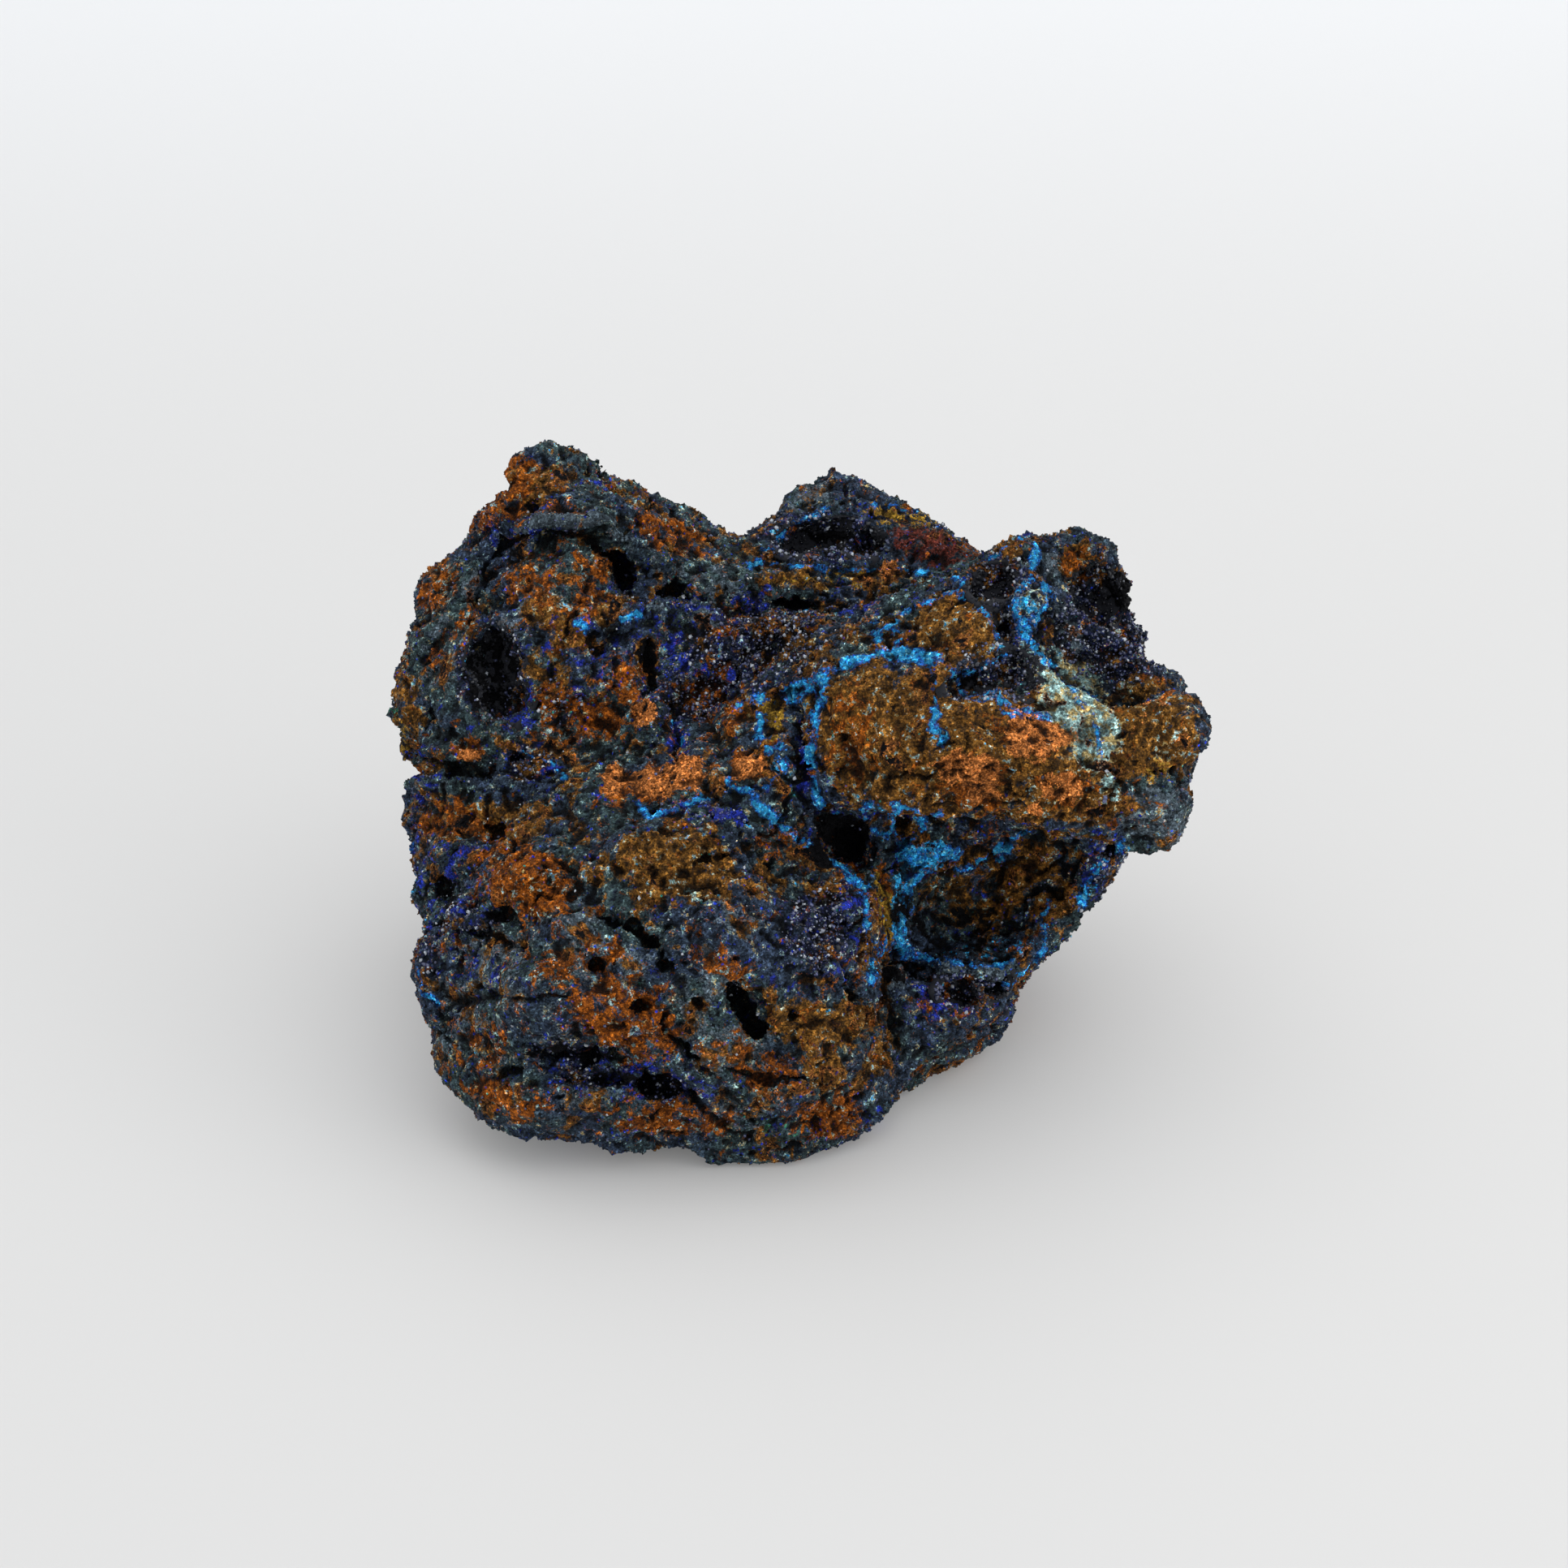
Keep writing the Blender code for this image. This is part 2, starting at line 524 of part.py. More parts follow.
def build_uncut_rock(rock, skin):
    """Gives the rock its open hollows and its crystals, before the lined hollows are cut."""
    bm = bmesh.new()
    bm.from_mesh(rock.data)
    for centre, radii, roll in SKIN_LUMPS.values():
        add_lump(bm, behind_skin(skin, *centre), radii, roll)
    bm.to_mesh(rock.data)
    bm.free()
    add_remesh(rock, WELD_VOXEL)
    bm = bmesh.new()
    for centre, radii, roll in FAR_HOLLOWS.values():
        add_lump(bm, display_point(*centre), radii, roll)
    for centre, radii, roll in SKIN_HOLLOWS.values():
        add_lump(bm, behind_skin(skin, *centre), radii, roll)
    add_boolean(rock, "DIFFERENCE", as_cutter(object_of("open hollows", bm)))
    add_remesh(rock, WELD_VOXEL)
    settle(rock)
    roughen(rock.data)
    add_remesh(rock, WELD_VOXEL)
    settle(rock)
    fewer = rock.modifiers.new("fewer faces", "DECIMATE")
    fewer.ratio = ROCK_TRIANGLES / sum(len(face.vertices) - 2 for face in rock.data.polygons)
    settle(rock)
    add_boolean(rock, "UNION", crystals_on(rock))
    add_boolean(rock, "DIFFERENCE", below_floor())
    settle(rock)
    keep_largest_body(rock)


def below_floor():
    """A block whose top is the floor: it cuts the specimen's flat foot."""
    bm = bmesh.new()
    middle = Matrix.Translation((0, 0, -FLOOR_BLOCK / 2 * MM))
    bmesh.ops.create_cube(bm, size=FLOOR_BLOCK * MM, matrix=middle)
    return as_cutter(object_of("below floor", bm))


def build_crust(name, rounds, skin, uncut):
    """A crust of flat-faced crystals that lines one hollow, up to the rock's skin."""
    bm = bmesh.new()
    add_hollow(bm, rounds, skin, CRUST_GAP, CUTTER_FINENESS)
    crust = object_of(name, bm)
    bm = bmesh.new()
    largest = max(radius for _, radii, _ in rounds for radius in radii)
    fineness = CUTTER_FINENESS + (largest >= WIDE_HOLLOW)
    add_hollow(bm, rounds, skin, CRUST_GAP + CRUST_THICKNESS, fineness, CRYSTAL_SHARE)
    add_boolean(crust, "INTERSECT", uncut)
    add_boolean(crust, "DIFFERENCE", as_cutter(object_of(name + " void", bm)))
    settle(crust)
    keep_largest_body(crust)
    return crust


def build_specimen():
    """Builds the rock with its hollows cut, and the crusts that line five of them."""
    rock = build_masses()
    skin = skin_of(rock)
    build_uncut_rock(rock, skin)
    uncut = as_cutter(link("uncut rock", rock.data.copy()))
    bm = bmesh.new()
    for rounds in LINED_HOLLOWS.values():
        add_hollow(bm, rounds, skin, 0, CUTTER_FINENESS)
    add_boolean(rock, "DIFFERENCE", as_cutter(object_of("lined hollows", bm)))
    settle(rock)
    keep_largest_body(rock)
    rock.data.materials.append(stone_finish("iron-stained rock", (0.12, 0.11, 0.13), 0.75))
    azurite = stone_finish("azurite crystal", (0.02, 0.06, 0.2), 0.3)
    for name, rounds in LINED_HOLLOWS.items():
        crust = build_crust(name, rounds, skin, uncut)
        crust.data.materials.append(azurite)


def main():
    """Builds the specimen in an empty scene, the same each time."""
    clear_scene()
    noise.seed_set(NOISE_SEED)
    build_specimen()


main()
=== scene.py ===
"""An azurite specimen on a pale studio floor: an iron-stained rock with druse-lined hollows.

The rock's skin and the crystal crusts are worked out in millimetres as whole numpy arrays over the
solids of the frame, and each finish is a procedural material that reads fields kept on the mesh.
"""

import logging
import math
from dataclasses import dataclass, field
from enum import Enum

import bpy
import numpy as np
from mathutils import Matrix, Vector


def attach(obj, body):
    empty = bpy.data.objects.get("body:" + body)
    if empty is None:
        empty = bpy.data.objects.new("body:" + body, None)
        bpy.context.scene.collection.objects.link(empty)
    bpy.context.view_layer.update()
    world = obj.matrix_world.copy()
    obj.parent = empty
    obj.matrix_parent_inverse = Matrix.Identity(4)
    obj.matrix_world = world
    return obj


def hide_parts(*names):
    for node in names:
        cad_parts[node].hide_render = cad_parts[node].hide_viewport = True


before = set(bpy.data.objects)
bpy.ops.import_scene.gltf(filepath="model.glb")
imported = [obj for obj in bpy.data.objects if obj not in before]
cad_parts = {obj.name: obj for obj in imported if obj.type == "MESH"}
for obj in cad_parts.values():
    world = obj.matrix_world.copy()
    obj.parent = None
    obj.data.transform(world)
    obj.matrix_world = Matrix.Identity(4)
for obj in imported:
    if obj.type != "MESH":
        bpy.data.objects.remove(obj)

LOG = logging.getLogger("azurite")
MM = 0.001
BODY = "root"
ROCK_NODE = "azurite_rock"

Array = np.ndarray
Rows = tuple[tuple[float, ...], ...]
Colour = tuple[float, float, float]
Socket = bpy.types.NodeSocket


# ---------------------------------------------------------------- noise over whole arrays


PRIMES = np.array([73856093, 19349663, 83492791], np.int64)
LANES = np.array([11, 101, 1009], np.int64)
SEED_STEP = 7919
STIR = 73244475
LOW_BITS = 0xFFFFFFFF
FRACTION_BITS = 0xFFFFFF
WAVE_GAIN = 1.7  # brings the waves to about -1 to 1
LAYER_GAIN = 1 / 1.6  # the same for layers of them
FAR = 9.0  # how far distances are followed, in cells or in half widths


def lattice_hash(cells: Array, seed: int) -> Array:
    """Turns whole-number lattice corners into three repeatable fractions from 0 to 1.

    The three coordinates are multiplied by large primes, joined by exclusive or, and the bits are
    then stirred twice by shifting and multiplying.

    Args:
        cells: Lattice corners, one row of three whole numbers each.
        seed: Which of the many repeatable patterns to give.

    Returns:
        One row of three fractions for each corner.
    """
    x, y, z = (cells.astype(np.int64) * PRIMES).T
    lanes = (x ^ y ^ z)[:, None] + LANES * (seed + 1) * SEED_STEP
    for _ in range(2):
        lanes = lanes & LOW_BITS
        lanes = ((lanes ^ (lanes >> 16)) * STIR) & LOW_BITS
    lanes = lanes ^ (lanes >> 16)
    return (lanes & FRACTION_BITS) / float(FRACTION_BITS)


def wavy(points: Array, size: float, seed: int) -> Array:
    """Smooth gradient noise, about -1 to 1.

    Each lattice corner holds a random gradient; a point takes the corner gradients' dot products
    with its offsets, blended by the quintic fade 6t^5 - 15t^4 + 10t^3 along each axis.

    Args:
        points: Places in millimetres, one row each.
        size: The length of the waves in millimetres.
        seed: Which pattern.

    Returns:
        One value for each point.
    """
    scaled = points / size
    base = np.floor(scaled)
    part = scaled - base
    fade = part ** 3 * (part * (part * 6.0 - 15.0) + 10.0)
    total = np.zeros(len(points))
    for corner in np.ndindex(2, 2, 2):
        step = np.array(corner, float)
        gradient = lattice_hash(base + step, seed) * 2.0 - 1.0
        weight = np.prod(np.where(step > 0, fade, 1.0 - fade), axis=1)
        total += weight * ((part - step) * gradient).sum(axis=1)
    return total * WAVE_GAIN


def layered(points: Array, size: float, seed: int, layers: int = 3) -> Array:
    """Gradient noise summed over layers, each half as long and half as strong as the last.

    Args:
        points: Places in millimetres, one row each.
        size: The longest waves in millimetres.
        seed: Which pattern.
        layers: How many layers are summed.

    Returns:
        One value for each point, about -1 to 1.
    """
    total = np.zeros(len(points))
    for layer in range(layers):
        total += wavy(points, size / 2 ** layer, seed + 17 * layer) / 2 ** layer
    return total * LAYER_GAIN


def seed_distance(points: Array, size: float, seed: int) -> Array:
    """The distance to the nearest of seeds strewn one to a lattice cell.

    Args:
        points: Places in millimetres, one row each.
        size: The cell size in millimetres.
        seed: Which pattern.

    Returns:
        The distances in cells.
    """
    scaled = points / size
    base = np.floor(scaled)
    least = np.full(len(points), FAR)
    for step in np.ndindex(3, 3, 3):
        cell = base + np.array(step, float) - 1.0
        apart = np.sqrt(((cell + lattice_hash(cell, seed) - scaled) ** 2).sum(axis=1))
        least = np.minimum(least, apart)
    return least


def rise(values: Array, low: float, high: float) -> Array:
    """The smooth step from 0 at `low` to 1 at `high`: 3t^2 - 2t^3 of the clipped share t."""
    share = np.clip((values - low) / (high - low), 0.0, 1.0)
    return share * share * (3.0 - 2.0 * share)


# ---------------------------------------------------------------- the display sheet


@dataclass(frozen=True)
class DisplaySheet:
    """The sheet that marks are placed on, square to the viewer of the displayed specimen.

    A mark at (x, y) is in tenths of a millimetre, x to the right and y down, and the sheet's
    middle is over the specimen's middle.
    """

    tilt: float = math.radians(28.0)
    eye_distance: float = 500.0
    middle_mark: float = 966.0
    marks_to_mm: float = 0.1
    aim: tuple[float, float, float] = (0.5, -6.1, 37.0)
    sheet_width: float = 193.2

    def axes(self) -> Array:
        """The sheet's rightward, upward and away directions, one row each."""
        sine, cosine = math.sin(self.tilt), math.cos(self.tilt)
        return np.array([[1.0, 0.0, 0.0], [0.0, sine, cosine], [0.0, cosine, -sine]])

    def onto(self, points: Array) -> Array:
        """Marks and depths of points.

        Offsets from the aim are turned into the sheet's axes, and the first two are divided by
        how much the view spreads at that depth.

        Args:
            points: Places in millimetres, one row each.

        Returns:
            Rows of x mark, y mark and depth behind the sheet in millimetres.
        """
        across, up, deep = ((points - np.array(self.aim)) @ self.axes().T).T
        spread = 1.0 + deep / self.eye_distance
        right = self.middle_mark + across / spread / self.marks_to_mm
        down = self.middle_mark - up / spread / self.marks_to_mm
        return np.column_stack((right, down, deep))

    def eye(self) -> Vector:
        """Where the viewer's eye is, in metres."""
        spot = np.array(self.aim) - self.axes()[2] * self.eye_distance
        return Vector(spot * MM)


SHEET = DisplaySheet()


@dataclass
class DepthChart:
    """How deep the nearest skin lies behind each small square of the display sheet.

    Attributes:
        placed: The skin's points, as rows of x mark, y mark and depth.
        square: The side of a square in marks.
        depths: The least depth in each square, in millimetres.
    """

    placed: Array
    square: float = 8.0
    depths: Array = field(init=False)

    def __post_init__(self) -> None:
        """Fills the squares; an empty one takes its neighbours' least depth, so that gaps close."""
        side = int(2 * SHEET.middle_mark / self.square) + 2
        self.depths = np.full((side, side), np.inf)
        column, row = self.squares(self.placed)
        np.minimum.at(self.depths, (row, column), self.placed[:, 2])
        for _ in range(2):
            padded = np.pad(self.depths, 1, constant_values=np.inf)
            around = [padded[i : i + side, j : j + side] for i in range(3) for j in range(3)]
            self.depths = np.where(np.isinf(self.depths), np.min(around, axis=0), self.depths)

    def squares(self, placed: Array) -> tuple[Array, Array]:
        """The column and row of the square that holds each placed point."""
        index = np.clip((placed[:, :2] / self.square).astype(int), 0, len(self.depths) - 1)
        return index[:, 0], index[:, 1]

    def behind(self) -> Array:
        """How far each point of the skin lies behind the nearest skin, in millimetres."""
        column, row = self.squares(self.placed)
        return self.placed[:, 2] - self.depths[row, column]

    def at(self, marks: Array) -> Array:
        """The depth of the nearest skin under each mark, and the least depth where there is none."""
        column, row = self.squares(marks)
        found = self.depths[row, column]
        return np.where(np.isinf(found), np.min(self.depths), found)


# ---------------------------------------------------------------- marks on the rock


class Tint(Enum):
    """The fields of colour on the rock's skin. The value is the field's name on the mesh."""

    RUST = "rust"
    OCHRE = "ochre"
    DRUSE = "druse"
    PALE = "pale"
    GREEN = "green"
    GOLD = "gold"
    RED = "red"
    COBALT = "cobalt"
    SKY = "sky"
    SALMON = "salmon"
    # Painted shade: black painted into the vugs, holes and cracks, where shade falls.
    PAINTED_SHADE = "void"
    PLAIN = "plain"


@dataclass(frozen=True)
class Line:
    """A line along the skin: a rim of blue copper carbonate, a crack, a ridge or a groove.

    Attributes:
        width: Its half width in marks.
        lift: How far it stands out of the skin in millimetres; a groove is negative.
        path: Its corners on the display sheet, in marks, one row each.
    """

    width: float
    lift: float
    path: Array


def lines(*rows: tuple[float, ...]) -> tuple[Line, ...]:
    """Makes lines from rows of half width, lift and then the corners' x and y in turn."""
    return tuple(Line(row[0], row[1], np.array(row[2:], float).reshape(-1, 2)) for row in rows)


# Oval patches of each tint: x and y in marks, half width, half height, turn clockwise in degrees,
# and strength in the middle.
PATCHES: dict[Tint, Rows] = {
    Tint.RUST: (
        (759, 966, 20, 18, 0, 1.6), (806, 966, 26, 24, 0, 1.6), (846, 955, 20, 21, 0, 1.5),
        (920, 945, 22, 16, -20, 1.5), (1266, 903, 46, 24, 10, 1.3), (1195, 962, 50, 36, 10, 1.2),
        (1310, 970, 34, 20, 10, 1.1), (650, 1083, 66, 44, 20, 1.4), (745, 1165, 36, 16, 25, 1.1),
        (884, 1185, 44, 18, 30, 1.0), (770, 1258, 72, 46, 25, 1.3), (820, 1376, 84, 22, 5, 1.1),
        (1022, 1379, 44, 26, -20, 1.2), (650, 720, 40, 30, 0, 1.1), (720, 740, 30, 25, 0, 1.1),
        (630, 600, 32, 42, 30, 1.2), (690, 640, 30, 20, 0, 0.9), (578, 925, 18, 18, 0, 1.2),
        (560, 1010, 52, 24, -10, 1.2), (620, 1352, 62, 22, 20, 1.1), (1325, 697, 24, 22, 0, 0.9),
        (820, 655, 60, 22, 15, 1.1), (870, 850, 34, 40, 20, 0.9), (760, 830, 34, 24, 0, 0.8),
        (700, 900, 40, 24, 0, 0.9), (545, 730, 30, 40, 0, 1.0), (530, 800, 18, 40, 0, 0.9),
        (1010, 1040, 20, 14, 0, 0.7), (1092, 1110, 14, 44, -8, 1.0), (960, 1040, 30, 22, 0, 0.8),
        (1180, 1230, 40, 28, 0, 0.8), (940, 1320, 60, 30, 30, 0.8), (700, 1190, 60, 24, 20, 0.8),
        (905, 885, 18, 20, 0, 1.2), (615, 625, 40, 50, 20, 1.0), (560, 760, 30, 30, 0, 0.8),
        (690, 862, 36, 22, 10, 1.2), (738, 884, 42, 22, 30, 1.2), (770, 850, 24, 34, 20, 0.9),
        (1050, 905, 40, 60, 0, 0.7), (590, 1290, 40, 40, 0, 0.6), (980, 660, 20, 16, 0, 0.8),
        (900, 775, 24, 12, 0, 0.7), (730, 700, 34, 20, 0, 0.9),
    ),
    Tint.OCHRE: (
        (1076, 895, 76, 92, 0, 1.7), (1186, 780, 60, 50, 10, 1.7), (1205, 885, 94, 50, 5, 1.5),
        (1215, 940, 150, 70, 8, 1.6), (1130, 960, 90, 50, 20, 1.5), (1340, 980, 60, 40, 10, 1.0),
        (1420, 900, 62, 60, 0, 1.4), (830, 1067, 84, 50, 5, 1.3), (1230, 1090, 96, 64, -15, 0.9),
        (1270, 985, 120, 36, 5, 1.2), (1050, 786, 15, 14, 0, 1.5), (1030, 1282, 86, 52, 30, 1.0),
        (1325, 697, 26, 24, 0, 1.2), (960, 1080, 40, 26, 0, 0.9), (935, 900, 60, 44, -20, 0.8),
        (600, 1000, 100, 40, 0, 0.6), (1110, 1015, 14, 16, 0, 1.3), (1000, 800, 60, 18, -20, 0.8),
        (660, 960, 60, 20, 0, 0.7), (1240, 690, 20, 26, 0, 0.9), (1000, 715, 90, 14, 3, 0.7),
        (1010, 745, 40, 8, 0, 0.6), (650, 592, 34, 28, 30, 1.3), (700, 770, 60, 30, 0, 0.8),
        (672, 830, 30, 44, 0, 1.0), (515, 960, 34, 30, 0, 0.9), (800, 830, 20, 20, 0, 0.8),
        (500, 880, 20, 60, 0, 0.9), (760, 690, 30, 18, 0, 0.6), (590, 820, 20, 60, 0, 0.4),
    ),
    Tint.DRUSE: (
        (1378, 765, 78, 84, 10, 1.6), (1234, 722, 40, 48, 20, 1.5), (1244, 775, 14, 24, 0, 1.4),
        (1234, 822, 56, 38, 0, 1.4), (930, 800, 94, 50, -10, 1.2), (850, 850, 50, 50, 0, 1.0),
        (604, 830, 42, 66, 10, 1.6), (1011, 661, 74, 32, 0, 1.5), (1004, 1145, 46, 58, 10, 1.3),
        (1190, 1218, 44, 20, -10, 1.4), (713, 1296, 68, 12, 3, 1.3), (743, 1328, 66, 14, 8, 1.3),
        (820, 1342, 30, 14, 20, 1.4), (650, 940, 38, 26, 0, 0.9), (690, 860, 40, 40, 0, 0.8),
        (1360, 1070, 34, 36, 0, 1.0), (530, 1180, 24, 40, 0, 0.8), (580, 1130, 40, 24, 0, 0.8),
        (840, 735, 22, 12, 0, 1.2), (990, 750, 38, 14, 0, 1.2),
    ),
    Tint.PALE: (
        (1292, 826, 32, 24, 30, 2.2), (1318, 852, 38, 38, -30, 2.8), (1344, 895, 30, 56, -15, 2.6),
        (1410, 862, 36, 20, 20, 0.5), (1440, 920, 26, 30, 0, 0.3), (1368, 965, 12, 34, -10, 1.1),
        (1270, 742, 28, 22, 0, 0.9), (1330, 870, 34, 50, -25, 1.2), (860, 1103, 20, 8, 10, 0.7),
        (832, 1094, 12, 9, 0, 0.6), (960, 1000, 22, 12, 0, 0.6), (600, 790, 26, 24, 0, 0.4),
    ),
    Tint.COBALT: (
        (1040, 1150, 40, 70, 0, 0.9), (1175, 1234, 56, 28, 0, 1.2), (657, 938, 38, 26, 0, 1.4),
        (1358, 1069, 32, 40, 0, 1.3), (900, 790, 120, 60, -15, 1.1), (760, 800, 120, 80, 0, 0.6),
        (560, 1100, 60, 80, 0, 0.7), (1130, 1058, 34, 26, 0, 1.3), (640, 860, 26, 60, 0, 1.1),
        (985, 752, 90, 14, 0, 1.1), (990, 925, 9, 56, 0, 2.2), (870, 1000, 60, 16, 0, 1.0),
        (780, 1330, 120, 26, 5, 0.9), (930, 1230, 60, 50, 0, 0.5), (660, 650, 80, 20, -10, 0.8),
        (520, 1000, 24, 90, 0, 0.8), (1040, 1390, 60, 30, -20, 0.5), (833, 915, 14, 26, 0, 1.6),
        (600, 1190, 60, 40, 0, 0.6),
    ),
    Tint.GOLD: (
        (489, 922, 16, 36, 0, 1.6), (953, 880, 15, 20, 0, 2.2), (1115, 638, 54, 16, 12, 1.6),
        (1088, 1115, 7, 50, -10, 2.4), (1100, 1130, 5, 40, -4, 2.0), (955, 905, 10, 20, 0, 0.9),
        (1000, 716, 70, 7, 3, 0.9), (1427, 950, 26, 18, 0, 0.8), (1060, 705, 60, 8, 5, 1.2),
    ),
    Tint.SALMON: (
        (802, 966, 25, 21, 0, 2.6), (842, 955, 24, 21, 0, 2.6), (757, 960, 14, 19, 0, 2.4),
        (1430, 880, 40, 30, 20, 0.5), (1400, 890, 16, 24, 0, 0.6), (578, 925, 20, 16, 20, 1.8),
        (918, 945, 26, 13, -35, 1.8), (1268, 905, 56, 30, 10, 1.5), (1196, 955, 50, 30, 10, 1.5),
        (1310, 970, 34, 20, 20, 1.4), (1250, 985, 40, 10, 25, 1.2), (795, 880, 14, 22, 30, 1.2),
        (1082, 700, 20, 16, 0, 0.6), (620, 575, 12, 14, 0, 0.8), (905, 1120, 22, 8, 40, 0.8),
    ),
    # Black painted shade in the vugs, the holes and the cracks.
    Tint.PAINTED_SHADE: (
        (603, 832, 32, 60, 8, 2.4), (1035, 1035, 34, 34, 20, 2.6), (1378, 735, 24, 26, 0, 1.8),
        (1190, 835, 20, 16, 0, 1.6), (1010, 664, 52, 20, 0, 1.4), (768, 700, 18, 22, 0, 1.6),
        (1160, 1140, 70, 50, 10, 0.9), (1110, 1204, 22, 12, 10, 1.2), (700, 1300, 76, 14, 3, 1.2),
        (775, 1335, 56, 14, 10, 1.6), (980, 745, 36, 10, 0, 1.4), (620, 700, 14, 30, 30, 0.9),
        (800, 820, 10, 30, 0, 1.0), (655, 626, 12, 14, 0, 0.9), (1180, 1215, 30, 12, -10, 1.1),
        (548, 1104, 16, 18, 0, 1.3), (612, 1130, 18, 10, 0, 1.1), (1370, 1046, 9, 12, 0, 1.2),
    ),
    Tint.SKY: (
        (1138, 1054, 36, 21, 0, 2.6), (1112, 1110, 13, 46, 5, 1.9), (1222, 1172, 76, 16, -4, 0.9),
        (1118, 803, 24, 8, 10, 1.3), (1112, 1150, 10, 26, 5, 1.2), (1002, 846, 14, 12, 0, 1.3),
        (1090, 1000, 24, 8, 0, 0.9), (1272, 748, 16, 14, 0, 1.1), (1108, 790, 10, 16, 0, 1.0),
        (1148, 830, 6, 18, 0, 1.0), (954, 955, 12, 16, 0, 0.9), (948, 880, 8, 20, 0, 0.8),
        (714, 770, 12, 8, 0, 1.1), (770, 760, 14, 7, 0, 0.9), (1350, 1080, 12, 30, 30, 0.9),
        (1074, 1190, 8, 16, 0, 1.2), (1230, 1184, 40, 6, 0, 0.7), (958, 664, 14, 14, -40, 0.9),
        (1110, 705, 60, 4, 3, 0.8), (508, 1085, 6, 20, 0, 0.9), (1300, 812, 14, 8, 30, 1.0),
        (640, 925, 20, 5, 25, 0.9), (1150, 895, 8, 20, -20, 0.6),
    ),
    Tint.PLAIN: (
        (1425, 1005, 52, 40, 0, 1.5), (700, 1130, 90, 30, 15, 1.0), (900, 1130, 60, 26, 20, 0.9),
        (870, 1200, 60, 40, 20, 0.9), (940, 1280, 30, 60, -20, 0.9), (600, 1180, 60, 40, 0, 1.0),
        (690, 640, 60, 12, 0, 1.2), (540, 830, 30, 60, 0, 0.7), (870, 720, 60, 24, 10, 1.1),
        (990, 610, 40, 26, 0, 1.0), (660, 760, 50, 50, 0, 0.8), (1200, 1200, 60, 10, 0, 1.0),
        (1102, 1210, 20, 26, 0, 1.2), (620, 850, 60, 60, 0, 0.5), (780, 1200, 100, 40, 20, 0.9),
        (880, 1290, 50, 60, -20, 0.8), (660, 1290, 60, 30, 0, 0.8), (560, 1250, 40, 60, 0, 0.8),
        (1470, 940, 20, 50, 0, 1.0), (700, 1350, 100, 14, 5, 0.8), (900, 1380, 60, 24, 0, 0.8),
        (1050, 1240, 24, 60, 0, 0.7), (640, 1240, 50, 40, 0, 0.9), (1010, 1000, 20, 10, 0, 0.6),
        (1060, 750, 60, 14, -15, 0.6),
    ),
    Tint.RED: (
        (1145, 672, 60, 26, 18, 1.7), (1060, 668, 26, 14, 0, 0.8),
    ),
    Tint.GREEN: (
        (481, 875, 10, 14, 0, 1.5), (979, 905, 10, 10, 0, 1.0), (953, 868, 16, 10, 0, 1.0),
        (1235, 770, 10, 30, 0, 0.8), (960, 1390, 30, 20, 0, 0.8), (1130, 625, 30, 6, 12, 1.0),
        (975, 985, 12, 16, 0, 0.8), (820, 905, 8, 20, 0, 0.5),
    ),
}

